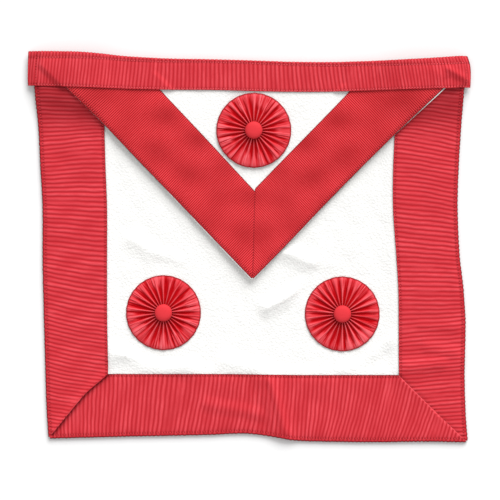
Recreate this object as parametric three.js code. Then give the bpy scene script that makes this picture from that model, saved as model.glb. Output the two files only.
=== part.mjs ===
// A masonic apron lying flat, face up: a white leather body bordered in ribbed ribbon on three sides, a
// pointed leather flap with ribbon along its edges, a ribbon waistband folded over the top edge, and three
// pleated rosettes with covered buttons. Millimetres; +Z is up, +Y points to the waistband and +X to the
// right of someone who looks down at it.
//
// Every cloth piece is first placed on the flat pattern, where "across" runs from the centre line and "up"
// from the hem. laid() then moves a place on the pattern to where it lies on the floor.

import * as THREE from 'three';
import { mergeVertices } from 'three/addons/utils/BufferGeometryUtils.js';

// Body and waistband
const APRON_WIDTH = 398;
const APRON_DEPTH = 356;
const BAND_WIDTH = 32;
const BAND_BACK_WIDTH = 21;
const BAND_OVERHANG = 5.3;
const SEAM_DEPTH = 14; // the flap and the borders end this far below the top fold, under the band

// Ribbon borders
const BORDER_WIDTH = 60;
const RETURN_WIDTH = 8; // what is turned under behind the leather

// Flap
const FLAP_WIDTH = 354; // where it leaves the band
const FLAP_DEPTH = 207; // from the top fold to the point
const FLAP_SKEW = 5; // the flap's top lies this far right of its point
const FLAP_TIP_WIDTH = 3;
const FLAP_CORNER = 14; // how far its corners, cut off under the band, reach past that width on each side
const TRIM_WIDTH = 61;
const LEATHER_PEEK = 0.7; // leather left bare outside the trim
const FLAP_RISE = 2.6; // how far the point stands clear of the body

// Rosettes and buttons
const ROSETTE_DIAMETER = 69;
const ROSETTE_WALL = 1;
const PLEAT_COUNT = 26;
const PLEAT_HEIGHT = 2;
const BUTTON_DIAMETER = 16;
const BUTTON_HEIGHT = 4.4;
const ROSETTE_HOLD = 7; // how far round a rosette its stitching holds the leather flat
const SIDE_MARGIN = 19.2; // from a side border to a rosette
const HEM_MARGIN = 22.4; // from the hem border to a rosette
const BAND_MARGIN = 2; // from the band to the flap's rosette

// Cloth, clearances and folds
const LEATHER = 1.2;
const RIBBON = 1;
const GAP = 0.3; // clear space between two layers, and across a mitre
const BAND_EASE = 7; // how far the band takes to come down beside a layer that it covers
const PANEL_EASE = 14; // how far the leather takes to come down to the floor beside a border
const FOLD_HEIGHT = 2.4;

const HALF_WIDTH = APRON_WIDTH / 2;
const FLAP_REACH = FLAP_WIDTH / 2 + FLAP_CORNER;
const COVERED = Math.max(HALF_WIDTH, FLAP_REACH + RETURN_WIDTH); // what the band has to reach past
const LAYER = RIBBON + GAP;
const ROLL_RADIUS = (LEATHER + 2 * LAYER) / 2; // outside of the ribbon where it turns round the leather
const WAIST = APRON_DEPTH - BAND_WIDTH; // the band's lower edge
const BACK_EDGE = APRON_DEPTH - BAND_BACK_WIDTH; // lower edge of the band's back half
const SEAM_END = APRON_DEPTH - SEAM_DEPTH;
const TIP = APRON_DEPTH - FLAP_DEPTH;
const ROSETTE_RADIUS = ROSETTE_DIAMETER / 2;
const BUTTON_RADIUS = BUTTON_DIAMETER / 2;
const SETBACK = GAP * Math.SQRT1_2; // each side of a mitre, measured along the strip

// How the laid apron departs from the pattern. Sideways shifts are shares of the apron's width, for the
// outer edges and the borders' inner seams, at shares of the depth up from the hem.
const SIDEWAYS = [
  { up: 0, left: 0.033, leftSeam: 0.0214, rightSeam: -0.004, right: 0.0045 },
  { up: 0.08, left: 0.0284, leftSeam: 0.0214, rightSeam: -0.0045, right: -0.0008 },
  { up: 0.18, left: 0.0256, leftSeam: 0.0212, rightSeam: -0.0055, right: -0.003 },
  { up: 0.3, left: 0.0226, leftSeam: 0.019, rightSeam: -0.0058, right: -0.0008 },
  { up: 0.39, left: 0.0205, leftSeam: 0.0186, rightSeam: -0.0065, right: -0.0055 },
  { up: 0.48, left: 0.0191, leftSeam: 0.0186, rightSeam: -0.0113, right: -0.0146 },
  { up: 0.6, left: 0.0191, leftSeam: 0.0186, rightSeam: -0.0186, right: -0.0191 },
  { up: 0.7, left: 0.014, leftSeam: 0.0153, rightSeam: -0.0186, right: -0.0168 },
  { up: 0.8, left: 0.0095, leftSeam: 0.0128, rightSeam: -0.015, right: -0.0115 },
  { up: 0.915, left: 0, leftSeam: 0.0118, rightSeam: -0.0118, right: -0.003 },
  { up: 1, left: 0, leftSeam: 0.0118, rightSeam: -0.0118, right: -0.0095 },
];
// Shifts up and down are shares of the depth, for the hem, the hem border's seam, the band's lower edge and
// the top fold, at shares of the width from the centre line.
const LENGTHWISE = [
  { across: -0.5, hem: 0.0025, seam: 0.002, waist: 0.0053, top: 0.0053 },
  { across: -0.4, hem: 0.005, seam: 0.002, waist: 0.0006, top: 0.0026 },
  { across: -0.3, hem: 0.0078, seam: 0.002, waist: -0.003, top: -0.0076 },
  { across: -0.2, hem: 0.0098, seam: 0.002, waist: -0.0053, top: -0.0135 },
  { across: -0.1, hem: 0.0124, seam: 0.002, waist: -0.0058, top: -0.0156 },
  { across: -0.02, hem: 0.0154, seam: 0.0015, waist: -0.0078, top: -0.0178 },
  { across: 0.04, hem: 0.008, seam: 0.0005, waist: -0.0098, top: -0.02 },
  { across: 0.1, hem: -0.0025, seam: -0.0006, waist: -0.0107, top: -0.0222 },
  { across: 0.2, hem: -0.006, seam: -0.0006, waist: -0.0102, top: -0.0228 },
  { across: 0.3, hem: -0.007, seam: -0.0006, waist: -0.0072, top: -0.0198 },
  { across: 0.4, hem: -0.0055, seam: -0.0006, waist: -0.004, top: -0.015 },
  { across: 0.5, hem: -0.0072, seam: -0.0006, waist: 0, top: -0.0072 },
];
// Soft folds of the body. Places are shares of the width and depth, spread is half the fold's width as a
// share of the apron's width, and height is a share of the fold height.
const FOLDS = [
  { fromAcross: 0.074, fromUp: 0, toAcross: 0.028, toUp: 0.17, spread: 0.045, height: 1 },
  { fromAcross: -0.07, fromUp: 0.2, toAcross: 0.01, toUp: 0.185, spread: 0.036, height: 0.7 },
  { fromAcross: -0.33, fromUp: 0.22, toAcross: -0.16, toUp: 0.19, spread: 0.036, height: 0.7 },
  { fromAcross: 0.22, fromUp: 0.2, toAcross: 0.32, toUp: 0.26, spread: 0.036, height: 0.7 },
  { fromAcross: 0.02, fromUp: 0.33, toAcross: 0.08, toUp: 0.4, spread: 0.036, height: 0.8 },
  { fromAcross: -0.3, fromUp: 0.52, toAcross: -0.18, toUp: 0.455, spread: 0.036, height: 0.8 },
  { fromAcross: 0.08, fromUp: 0.49, toAcross: 0.15, toUp: 0.46, spread: 0.036, height: 0.8 },
  { fromAcross: 0.36, fromUp: 0.18, toAcross: 0.5, toUp: 0.21, spread: 0.04, height: 0.5 },
];
// The flap's height along its centre line and its edges, as shares of the rise, from the band to the point.
const FLAP_PROFILE = [
  { down: 0, middle: 0, edge: 0 },
  { down: 0.15, middle: -0.15, edge: 0 },
  { down: 0.45, middle: -0.4, edge: 0.02 },
  { down: 0.75, middle: 0.1, edge: 0.25 },
  { down: 1, middle: 1, edge: 1 },
];
// Height of a rosette's pleats from the button out to the rim, as shares of the pleat height.
const PLEAT_PROFILE = [
  { out: 0.22, height: 0.7 },
  { out: 0.45, height: 1 },
  { out: 1, height: 0.3 },
];
// One pleat's section: how high the cloth stands at even steps round the rosette.
const PLEAT_SECTION = [{ height: 0 }, { height: 0.75 }, { height: 1 }, { height: 0.6 }];
// A covered button's profile: radius and height as shares of the button's own.
const BUTTON_PROFILE = [
  { radius: 0.9, height: 0 },
  { radius: 1, height: 0.28 },
  { radius: 0.86, height: 0.68 },
  { radius: 0.5, height: 0.93 },
];

// Colours as they look in daylight
const RIBBON_RED = 0xd63c46;
const TRIM_RED = 0xd73a43;
const ROSETTE_RED = 0xd23c46;
const LEATHER_WHITE = 0xf6f5f0;

const clamp01 = (value) => Math.min(1, Math.max(0, value));
const lerp = THREE.MathUtils.lerp;

/** Value of one column of a table at a place along it, on a smooth curve through its rows. */
function sampled(rows, along, column, place) {
  const at = THREE.MathUtils.clamp(place, rows[0][along], rows.at(-1)[along]);
  const next = Math.max(1, rows.findIndex((row) => row[along] >= at));
  const [a, b] = [rows[next - 1], rows[next]];
  const slope = (low, high) => (high[column] - low[column]) / (high[along] - low[along]);
  const span = b[along] - a[along];
  const startSlope = next > 1 ? slope(rows[next - 2], b) : slope(a, b);
  const endSlope = next < rows.length - 1 ? slope(a, rows[next + 1]) : slope(a, b);
  const f = (at - a[along]) / span;
  const pull = f * (1 - f) * span * ((1 - f) * startSlope - f * endSlope);
  return lerp(a[column], b[column], f * f * (3 - 2 * f)) + pull;
}

/** Straight-line value between listed places, held flat beyond both ends. */
function between(places, values, at) {
  const next = places.findIndex((place) => place >= at);
  if (next === 0) return values[0];
  if (next < 0) return values.at(-1);
  return lerp(values[next - 1], values[next], (at - places[next - 1]) / (places[next] - places[next - 1]));
}

/** Where a place on the flat pattern lies on the floor. */
function laid(across, up) {
  const shift = (column) => sampled(SIDEWAYS, 'up', column, up / APRON_DEPTH) * APRON_WIDTH;
  const stretch = (column) => sampled(LENGTHWISE, 'across', column, across / APRON_WIDTH) * APRON_DEPTH;
  const seam = HALF_WIDTH - BORDER_WIDTH;
  const sides = ['left', 'leftSeam', 'rightSeam', 'right'].map(shift);
  const lengths = ['hem', 'seam', 'waist', 'top'].map(stretch);
  return [
    across + between([-HALF_WIDTH, -seam, seam, HALF_WIDTH], sides, across),
    up + between([0, BORDER_WIDTH, WAIST, APRON_DEPTH], lengths, up),
  ];
}

/** Even steps from one value to another, both ends included. */
const steps = (from, to, count) => Array.from({ length: count + 1 }, (_, i) => lerp(from, to, i / count));

// Centres of the rosettes on the pattern
const ROSETTE_INSET = BORDER_WIDTH + SIDE_MARGIN + ROSETTE_RADIUS;
const ROSETTE_UP = BORDER_WIDTH + HEM_MARGIN + ROSETTE_RADIUS;
const FLAP_ROSETTE_UP = WAIST - BAND_MARGIN - ROSETTE_RADIUS;
const ROSETTES = [
  { name: 'flap', across: flapCentre(FLAP_ROSETTE_UP), up: FLAP_ROSETTE_UP },
  { name: 'left', across: ROSETTE_INSET - HALF_WIDTH, up: ROSETTE_UP },
  { name: 'right', across: HALF_WIDTH - ROSETTE_INSET, up: ROSETTE_UP },
];

/** Height of the body's soft folds; a rosette's stitching holds the leather flat under and round it. */
function foldHeight(across, up) {
  const held = ROSETTES.slice(1).map((rosette) => {
    const clear = Math.hypot(across - rosette.across, up - rosette.up) - ROSETTE_RADIUS;
    return THREE.MathUtils.smoothstep(clear, ROSETTE_HOLD, 3 * ROSETTE_HOLD);
  });
  const heights = FOLDS.map((fold) => {
    const [x, y] = [fold.fromAcross * APRON_WIDTH, fold.fromUp * APRON_DEPTH];
    const [dx, dy] = [fold.toAcross * APRON_WIDTH - x, fold.toUp * APRON_DEPTH - y];
    const along = clamp01(((across - x) * dx + (up - y) * dy) / (dx * dx + dy * dy));
    const away = Math.hypot(across - x - along * dx, up - y - along * dy) / (fold.spread * APRON_WIDTH);
    return fold.height * FOLD_HEIGHT * Math.cos((Math.min(1, away) * Math.PI) / 2) ** 2;
  });
  return Math.max(...heights) * Math.min(...held);
}

/** Height of the leather's underside: up on the turned-under ribbon at the edges, on the floor inside. */
function bodyUnderside(across, up) {
  const inset = Math.min(HALF_WIDTH - Math.abs(across), up);
  const edge = clamp01((BORDER_WIDTH + PANEL_EASE - inset) / PANEL_EASE);
  const top = clamp01((up - WAIST) / (BACK_EDGE - WAIST));
  return LAYER * Math.max(edge, top) + foldHeight(across, up);
}

/** Height of the flap's underside, which lies on the side borders and stands clear towards its point. */
function flapUnderside(across, up) {
  const down = (WAIST - up) / (WAIST - TIP);
  const [middle, edge] = ['middle', 'edge'].map((column) => sampled(FLAP_PROFILE, 'down', column, down));
  const out = clamp01(Math.abs(across) / (HALF_WIDTH - BORDER_WIDTH));
  return LAYER + LEATHER + GAP + LAYER + FLAP_RISE * lerp(middle, edge, out * out * (3 - 2 * out));
}

/** The flap's centre line on the pattern. */
function flapCentre(up) {
  return (FLAP_SKEW * (up - TIP)) / (WAIST - TIP);
}

/** The flap's left (-1) or right (1) edge; its corners under the band are cut off. */
function flapEdge(side, up) {
  const half = lerp(FLAP_TIP_WIDTH, FLAP_WIDTH, (up - TIP) / (WAIST - TIP)) / 2;
  return THREE.MathUtils.clamp(flapCentre(up) + side * half, -FLAP_REACH, FLAP_REACH);
}

/** Sideways width of a strip that is so wide measured square to the flap's edge. */
function acrossEdge(side, width) {
  const slope = (flapEdge(side, WAIST) - flapEdge(side, TIP)) / (WAIST - TIP);
  return width * Math.hypot(1, slope);
}

/** 1 between two places and for a margin outside them, then falling to 0 over the band's ease. */
function coverage(at, from, to, margin) {
  const before = clamp01((at - from + margin + BAND_EASE) / BAND_EASE);
  const after = clamp01((to + margin + BAND_EASE - at) / BAND_EASE);
  return Math.min(before, after);
}

// The band's cells near its ends and along its middle, how many cells past a covered layer's side and how
// far past its top end it still stands over it, and where its front half comes down to its back half.
const BAND_STEP = 6;
const BAND_STEP_WIDE = 12;
const COVER_CELLS = 1.5;
const SEAM_STEP = 1;
const CLOSED_SHARE = 0.7; // of the overhang
const CLOSING = { from: COVERED - ROLL_RADIUS / 2, to: COVERED + CLOSED_SHARE * BAND_OVERHANG };

/** Height of the underside of the band's front half over all that it covers. */
function bandUnderside(across, up) {
  const reach = Math.min(up, SEAM_END);
  const caught = 1 - clamp01((up - SEAM_END - SEAM_STEP) / BAND_EASE);
  const flat = LAYER + LEATHER + GAP;
  const seam = HALF_WIDTH - BORDER_WIDTH;
  const border = coverage(Math.abs(across), seam, HALF_WIDTH, BAND_STEP_WIDE);
  const flap = coverage(across, flapEdge(-1, reach), flapEdge(1, reach), COVER_CELLS * BAND_STEP);
  const trims = [-1, 1].map((side) => {
    const outer = flapEdge(side, reach);
    const inward = acrossEdge(side, LEATHER_PEEK + TRIM_WIDTH);
    const inner = flapEdge(side, Math.max(WAIST, reach)) - side * inward;
    const step = Math.abs(across) > Math.abs((inner + outer) / 2) ? BAND_STEP : BAND_STEP_WIDE;
    return coverage(across, Math.min(inner, outer), Math.max(inner, outer), COVER_CELLS * step);
  });
  const onFlap = flapUnderside(0, WAIST) + LEATHER + GAP;
  const layers = lerp(flat + LAYER * border, onFlap, flap) + LAYER * Math.max(...trims);
  const closed = clamp01((Math.abs(across) - CLOSING.from) / (CLOSING.to - CLOSING.from));
  return lerp(lerp(flat, layers, caught), RIBBON + GAP, closed);
}

const SAME_POINT = 1e-4; // points this near each other are one

/** A closed geometry from points and faces: joins points that meet and turns its faces outwards. */
function closedGeometry(points, faces) {
  const loose = new THREE.BufferGeometry();
  loose.setAttribute('position', new THREE.Float32BufferAttribute(points.flat(), 3));
  loose.setIndex(faces.flat());
  const joined = mergeVertices(loose, SAME_POINT);
  const index = joined.index.array;
  const corners = joined.attributes.position;
  const [a, b, c] = [new THREE.Vector3(), new THREE.Vector3(), new THREE.Vector3()];
  const kept = [];
  let volume = 0;
  for (let k = 0; k < index.length; k += 3) {
    const [i, j, l] = index.slice(k, k + 3);
    if (i === j || j === l || l === i) continue;
    kept.push([i, j, l]);
    [a, b, c].forEach((corner, n) => corner.fromBufferAttribute(corners, [i, j, l][n]));
    volume += a.dot(b.cross(c));
  }
  joined.setIndex((volume < 0 ? kept.map((face) => face.toReversed()) : kept).flat());
  joined.computeVertexNormals();
  return joined;
}

/** A sheet with thickness: two facing surfaces on one grid, given as functions of row and column. */
function sheetGeometry(rows, columns, outer, inner) {
  const points = [];
  const faces = [];
  for (const surface of [outer, inner]) {
    for (let i = 0; i <= rows; i++) {
      for (let j = 0; j <= columns; j++) points.push(surface(i, j));
    }
  }
  const layer = (rows + 1) * (columns + 1);
  const at = (side, i, j) => side * layer + i * (columns + 1) + j;
  const quad = (a, b, c, d) => faces.push([a, b, c], [a, c, d]);
  for (let i = 0; i < rows; i++) {
    for (let j = 0; j < columns; j++) {
      quad(at(0, i, j), at(0, i + 1, j), at(0, i + 1, j + 1), at(0, i, j + 1));
      quad(at(1, i, j), at(1, i, j + 1), at(1, i + 1, j + 1), at(1, i + 1, j));
    }
  }
  for (let i = 0; i < rows; i++) {
    quad(at(0, i, 0), at(1, i, 0), at(1, i + 1, 0), at(0, i + 1, 0));
    quad(at(0, i, columns), at(0, i + 1, columns), at(1, i + 1, columns), at(1, i, columns));
  }
  for (let j = 0; j < columns; j++) {
    quad(at(0, 0, j), at(0, 0, j + 1), at(1, 0, j + 1), at(1, 0, j));
    quad(at(0, rows, j), at(1, rows, j), at(1, rows, j + 1), at(0, rows, j + 1));
  }
  return closedGeometry(points, faces);
}

/** A sheet of even thickness over an underside height, its grid given on the pattern. */
function layerGeometry(rows, columns, place, underside, thickness) {
  const surface = (lift) => (i, j) => {
    const [across, up] = place(i, j);
    return [...laid(across, up), underside(across, up) + lift];
  };
  return sheetGeometry(rows, columns, surface(thickness), surface(0));
}

function cloth(color, roughness) {
  return new THREE.MeshStandardMaterial({ color, roughness, metalness: 0, flatShading: true });
}

const apron = new THREE.Group();

function addPiece(name, geometry, material) {
  const piece = new THREE.Mesh(geometry, material);
  piece.name = name;
  apron.add(piece);
}

// Grid lines that the body and the borders share, so that they fold together. The last line before a seam
// is where the leather has come down to the floor.
const PANEL_CELLS_ACROSS = 18;
const PANEL_CELLS_UP = 15;
const panelReach = HALF_WIDTH - BORDER_WIDTH - PANEL_EASE;
const panelAcross = steps(-panelReach, panelReach, PANEL_CELLS_ACROSS);
const panelUp = steps(BORDER_WIDTH + PANEL_EASE, WAIST, PANEL_CELLS_UP);
const TURN_CELLS = 4; // round a turned edge
const edgeInsets = [ROLL_RADIUS, RETURN_WIDTH, (RETURN_WIDTH + BORDER_WIDTH) / 2, BORDER_WIDTH];

/** The leather body, from just inside the ribbon's turned edge on every side. */
function bodyPanel() {
  const left = edgeInsets.map((inset) => inset - HALF_WIDTH);
  const right = edgeInsets.map((inset) => HALF_WIDTH - inset).reverse();
  const acrossLines = [...left, ...panelAcross, ...right];
  const upLines = [...edgeInsets, ...panelUp, BACK_EDGE, APRON_DEPTH - ROLL_RADIUS];
  const place = (i, j) => [acrossLines[i], upLines[j]];
  return layerGeometry(acrossLines.length - 1, upLines.length - 1, place, bodyUnderside, LEATHER);
}

/** Ribbon round an edge: half-turn points of its outside and inside, from the front to the back. */
function turnedEdge(radius) {
  return steps(0, Math.PI, TURN_CELLS).map((turn) => ({
    inset: radius * (1 - Math.sin(turn)),
    insetInside: radius - (radius - RIBBON) * Math.sin(turn),
    height: radius * (1 + Math.cos(turn)),
    heightInside: radius + (radius - RIBBON) * Math.cos(turn),
    behind: turn >= Math.PI / 2,
  }));
}

/**
 * A border strip. Its section runs from the inner seam across the front, round the leather's edge and back
 * under it. Each station gives the place along the strip for an inset from the edge, front or behind, and
 * place turns inset and along into a place on the pattern.
 */
function borderStrip(stations, place) {
  const front = [BORDER_WIDTH, (RETURN_WIDTH + BORDER_WIDTH) / 2, RETURN_WIDTH].map((inset) => ({
    inset,
    insetInside: inset,
    height: 2 * ROLL_RADIUS,
    heightInside: 2 * ROLL_RADIUS - RIBBON,
    behind: false,
  }));
  const backInset = { inset: RETURN_WIDTH, insetInside: RETURN_WIDTH };
  const back = { ...backInset, height: 0, heightInside: RIBBON, behind: true };
  const section = [...front, ...turnedEdge(ROLL_RADIUS), back];
  const surface = (insetKey, heightKey) => (i, j) => {
    const point = section[j];
    const inset = point[insetKey];
    const [across, up] = place(inset, stations[i](inset, point.behind));
    return [...laid(across, up), foldHeight(across, up) + point[heightKey]];
  };
  const [rows, columns] = [stations.length - 1, section.length - 1];
  return sheetGeometry(rows, columns, surface('inset', 'height'), surface('insetInside', 'heightInside'));
}

/** Stations of a side border from its top end, under the band, down to the mitre at the hem. */
function sideStations() {
  const backEnd = BACK_EDGE - GAP;
  const topEnd = (inset, behind) => (behind ? backEnd : SEAM_END);
  const lines = [backEnd, ...panelUp.toReversed(), ...edgeInsets.toReversed(), 0];
  return [topEnd, ...lines.map((line) => (inset) => Math.max(line, inset + SETBACK))];
}

/** Stations of the hem border from the right mitre to the left one. */
function hemStations() {
  const edgeLines = [0, ...edgeInsets].map((inset) => HALF_WIDTH - inset);
  const lines = [...edgeLines, ...panelAcross.toReversed(), ...edgeLines.toReversed().map((line) => -line)];
  return lines.map((line) => (inset) => {
    const mitre = HALF_WIDTH - inset - SETBACK;
    return THREE.MathUtils.clamp(line, -mitre, mitre);
  });
}

/** The leather flap: rows run down from under the band to the blunt point. */
function flapPanel() {
  const openRows = 12;
  const columns = 14;
  const rowLines = [SEAM_END, ...steps(WAIST, TIP, openRows)];
  const place = (i, j) => {
    const up = rowLines[i];
    return [lerp(flapEdge(-1, up), flapEdge(1, up), j / columns), up];
  };
  return layerGeometry(rowLines.length - 1, columns, place, flapUnderside, LEATHER);
}

/** One strip of ribbon along a flap edge, from under the band to the mitre on the flap's centre line. */
function flapTrim(side) {
  const rows = 14;
  const columns = 4;
  const place = (i, j) => {
    const inward = acrossEdge(side, LEATHER_PEEK + (TRIM_WIDTH * j) / columns);
    const gapToCentre = (up) => side * (flapEdge(side, up) - flapCentre(up)) - inward - SETBACK;
    const [low, high] = [gapToCentre(TIP), gapToCentre(WAIST)];
    const mitre = TIP + ((WAIST - TIP) * -low) / (high - low);
    const up = lerp(SEAM_END, Math.max(mitre, TIP + LEATHER_PEEK), i / rows);
    return [flapEdge(side, up) - side * inward, up];
  };
  const underside = (across, up) => flapUnderside(across, up) + LEATHER + GAP;
  return layerGeometry(rows, columns, place, underside, RIBBON);
}

/** The waistband: its section runs from the front's lower edge over the fold to the back's lower edge. */
function waistband() {
  const end = COVERED + BAND_OVERHANG;
  const fineReach = COVERED - BORDER_WIDTH / 2;
  const fineCells = Math.ceil((CLOSING.from - fineReach) / BAND_STEP);
  const wideCells = Math.ceil((2 * fineReach) / BAND_STEP_WIDE);
  const rightEnd = [...steps(fineReach, CLOSING.from, fineCells), CLOSING.to, end];
  const lines = [
    ...rightEnd.toReversed().map((line) => -line),
    ...steps(-fineReach, fineReach, wideCells).slice(1, -1),
    ...rightEnd,
  ];
  const frontUps = [WAIST, BACK_EDGE, SEAM_END + SEAM_STEP, SEAM_END + SEAM_STEP + BAND_EASE];
  const foldUp = APRON_DEPTH - ROLL_RADIUS;
  const surface = (inside) => (i, j) => {
    const across = lines[i];
    if (j < frontUps.length) {
      const up = frontUps[j];
      return [...laid(across, up), bandUnderside(across, up) + (inside ? 0 : RIBBON)];
    }
    const fold = turnedEdge((bandUnderside(across, foldUp) + RIBBON) / 2);
    const turn = fold[j - frontUps.length];
    if (turn) {
      const up = APRON_DEPTH - (inside ? turn.insetInside : turn.inset);
      return [...laid(across, up), inside ? turn.heightInside : turn.height];
    }
    return [...laid(across, BACK_EDGE), inside ? RIBBON : 0];
  };
  const columns = frontUps.length + TURN_CELLS + 1;
  return sheetGeometry(lines.length - 1, columns, surface(false), surface(true));
}

/** A round of pleated ribbon, flat underneath, its pleats standing up in rings of different height. */
function rosetteGeometry() {
  const spokes = PLEAT_COUNT * PLEAT_SECTION.length;
  const points = [[0, 0, 0], [0, 0, ROSETTE_WALL]];
  const faces = [];
  const spoke = (n, radius, height) => {
    const angle = (2 * Math.PI * n) / spokes;
    return [radius * Math.cos(angle), radius * Math.sin(angle), height];
  };
  const pleat = (n) => PLEAT_SECTION[n % PLEAT_SECTION.length].height;
  const rings = [{ out: 1, base: 0, rise: 0 }];
  for (const row of PLEAT_PROFILE) {
    rings.push({ out: row.out, base: ROSETTE_WALL, rise: row.height * PLEAT_HEIGHT });
  }
  for (const { out, base, rise } of rings) {
    for (let n = 0; n < spokes; n++) points.push(spoke(n, out * ROSETTE_RADIUS, base + rise * pleat(n)));
  }
  const at = (ring, n) => 2 + ring * spokes + (n % spokes);
  const rim = rings.length - 1;
  for (let n = 0; n < spokes; n++) {
    faces.push([0, at(0, n + 1), at(0, n)]);
    faces.push([1, at(1, n), at(1, n + 1)]);
    for (let ring = 1; ring < rim; ring++) {
      faces.push([at(ring, n), at(ring + 1, n), at(ring + 1, n + 1)]);
      faces.push([at(ring, n), at(ring + 1, n + 1), at(ring, n + 1)]);
    }
    faces.push([at(rim, n), at(0, n), at(0, n + 1)], [at(rim, n), at(0, n + 1), at(rim, n + 1)]);
  }
  return closedGeometry(points, faces);
}

function buttonGeometry() {
  const sides = 20;
  const outline = BUTTON_PROFILE.map(
    (row) => new THREE.Vector2(row.radius * BUTTON_RADIUS, row.height * BUTTON_HEIGHT),
  );
  const profile = [new THREE.Vector2(0, 0), ...outline, new THREE.Vector2(0, BUTTON_HEIGHT)];
  return new THREE.LatheGeometry(profile, sides).rotateX(Math.PI / 2);
}

/** Highest point of what a rosette is sewn on, over its whole round. */
function rosetteSeat(rosette) {
  const onFlap = rosette.name === 'flap';
  const surface = (across, up) => {
    if (!onFlap) return bodyUnderside(across, up) + LEATHER;
    const trimmed = [-1, 1].some((side) => {
      const inner = flapEdge(side, up) - side * acrossEdge(side, LEATHER_PEEK + TRIM_WIDTH);
      return side * (across - inner) > -GAP;
    });
    return flapUnderside(across, up) + LEATHER + (trimmed ? LAYER : 0);
  };
  const rim = steps(0, 2 * Math.PI, 2 * PLEAT_COUNT);
  const heights = rim.map((angle) => {
    const [x, y] = [ROSETTE_RADIUS * Math.cos(angle), ROSETTE_RADIUS * Math.sin(angle)];
    return surface(rosette.across + x, rosette.up + y);
  });
  return Math.max(...heights, surface(rosette.across, rosette.up));
}

const leftBorder = borderStrip(sideStations(), (inset, along) => [inset - HALF_WIDTH, along]);
const rightBorder = borderStrip(sideStations().reverse(), (inset, along) => [HALF_WIDTH - inset, along]);
const hemBorder = borderStrip(hemStations(), (inset, along) => [along, inset]);

addPiece('body_panel', bodyPanel(), cloth(LEATHER_WHITE, 0.6));
addPiece('border_left', leftBorder, cloth(RIBBON_RED, 0.7));
addPiece('border_right', rightBorder, cloth(RIBBON_RED, 0.7));
addPiece('border_bottom', hemBorder, cloth(RIBBON_RED, 0.7));
addPiece('flap_panel', flapPanel(), cloth(LEATHER_WHITE, 0.6));
addPiece('flap_trim_left', flapTrim(-1), cloth(TRIM_RED, 0.7));
addPiece('flap_trim_right', flapTrim(1), cloth(TRIM_RED, 0.7));
addPiece('waistband', waistband(), cloth(RIBBON_RED, 0.7));

for (const rosette of ROSETTES) {
  const seat = rosetteSeat(rosette) + GAP;
  const [x, y] = laid(rosette.across, rosette.up);
  const round = rosetteGeometry().translate(x, y, seat);
  const button = buttonGeometry().translate(x, y, seat + ROSETTE_WALL + PLEAT_HEIGHT + GAP);
  addPiece(`rosette_${rosette.name}`, round, cloth(ROSETTE_RED, 0.6));
  addPiece(`button_${rosette.name}`, button, cloth(ROSETTE_RED, 0.55));
}

// The origin is on the floor under the middle of the laid apron.
const extent = new THREE.Box3().setFromObject(apron);
const middle = extent.getCenter(new THREE.Vector3());
apron.position.set(-middle.x, -middle.y, -extent.min.z);

export default apron;
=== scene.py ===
import math

import bpy
import numpy as np
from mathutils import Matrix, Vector


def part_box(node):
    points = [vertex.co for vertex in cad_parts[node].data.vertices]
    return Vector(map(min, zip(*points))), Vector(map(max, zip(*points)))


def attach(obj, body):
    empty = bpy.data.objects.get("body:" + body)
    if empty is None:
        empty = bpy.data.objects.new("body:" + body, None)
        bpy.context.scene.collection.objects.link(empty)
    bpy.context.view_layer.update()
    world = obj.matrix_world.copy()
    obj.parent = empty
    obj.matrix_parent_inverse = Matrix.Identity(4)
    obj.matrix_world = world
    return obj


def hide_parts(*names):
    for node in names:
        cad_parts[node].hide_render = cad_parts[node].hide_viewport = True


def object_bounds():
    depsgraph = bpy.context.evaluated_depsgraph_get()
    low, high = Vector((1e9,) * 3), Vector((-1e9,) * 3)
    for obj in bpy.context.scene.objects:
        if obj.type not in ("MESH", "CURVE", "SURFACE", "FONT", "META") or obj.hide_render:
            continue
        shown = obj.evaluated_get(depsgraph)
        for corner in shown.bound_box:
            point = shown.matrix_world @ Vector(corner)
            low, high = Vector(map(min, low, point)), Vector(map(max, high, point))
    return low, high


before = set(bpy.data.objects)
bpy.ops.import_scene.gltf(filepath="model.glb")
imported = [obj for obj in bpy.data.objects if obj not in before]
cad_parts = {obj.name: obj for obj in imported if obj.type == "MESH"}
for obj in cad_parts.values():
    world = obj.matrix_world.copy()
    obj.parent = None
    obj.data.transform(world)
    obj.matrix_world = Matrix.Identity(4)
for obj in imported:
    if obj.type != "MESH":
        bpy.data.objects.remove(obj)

CAD_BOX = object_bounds()

# A masonic apron lying flat, face up: a white leather body bordered in ribbed ribbon, a pointed flap with
# finer ribbon along its edges, a ribbon waistband folded over the top, and three pleated rosettes with
# covered buttons. Metres; +Z is up, +Y points to the waistband and +X to the right of who looks down at it.
#
# Every cloth piece is first placed on the flat pattern, where "across" runs from the centre line and "up"
# from the hem. laid() then moves a place on the pattern to where it lies on the floor.

MM = 0.001

# Body and waistband
APRON_WIDTH = 398 * MM
APRON_DEPTH = 356 * MM
BAND_WIDTH = 32 * MM
BAND_BACK_WIDTH = 21 * MM
BAND_OVERHANG = 5.3 * MM
SEAM_DEPTH = 14 * MM

# Ribbon borders
BORDER_WIDTH = 60 * MM
RETURN_WIDTH = 8 * MM

# Flap
FLAP_WIDTH = 354 * MM
FLAP_DEPTH = 207 * MM
FLAP_SKEW = 5 * MM
FLAP_TIP_WIDTH = 3 * MM
FLAP_CORNER = 14 * MM
TRIM_WIDTH = 61 * MM
TRIM_TAPER = 4.5 * MM  # how much narrower the right ribbon's inner edge leaves it at the point
MITRE_LEAN = 3 * MM  # how far the two ribbons' meeting line leans right by their inner corner, half way up
LEATHER_PEEK = 0.8 * MM
FLAP_RISE = 2.6 * MM

# Rosettes
ROSETTE_DIAMETER = 69 * MM
PLEAT_COUNT = 26
ROSETTE_HOLD = 7 * MM
SIDE_MARGIN = 19.2 * MM
HEM_MARGIN = 22.4 * MM

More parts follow.
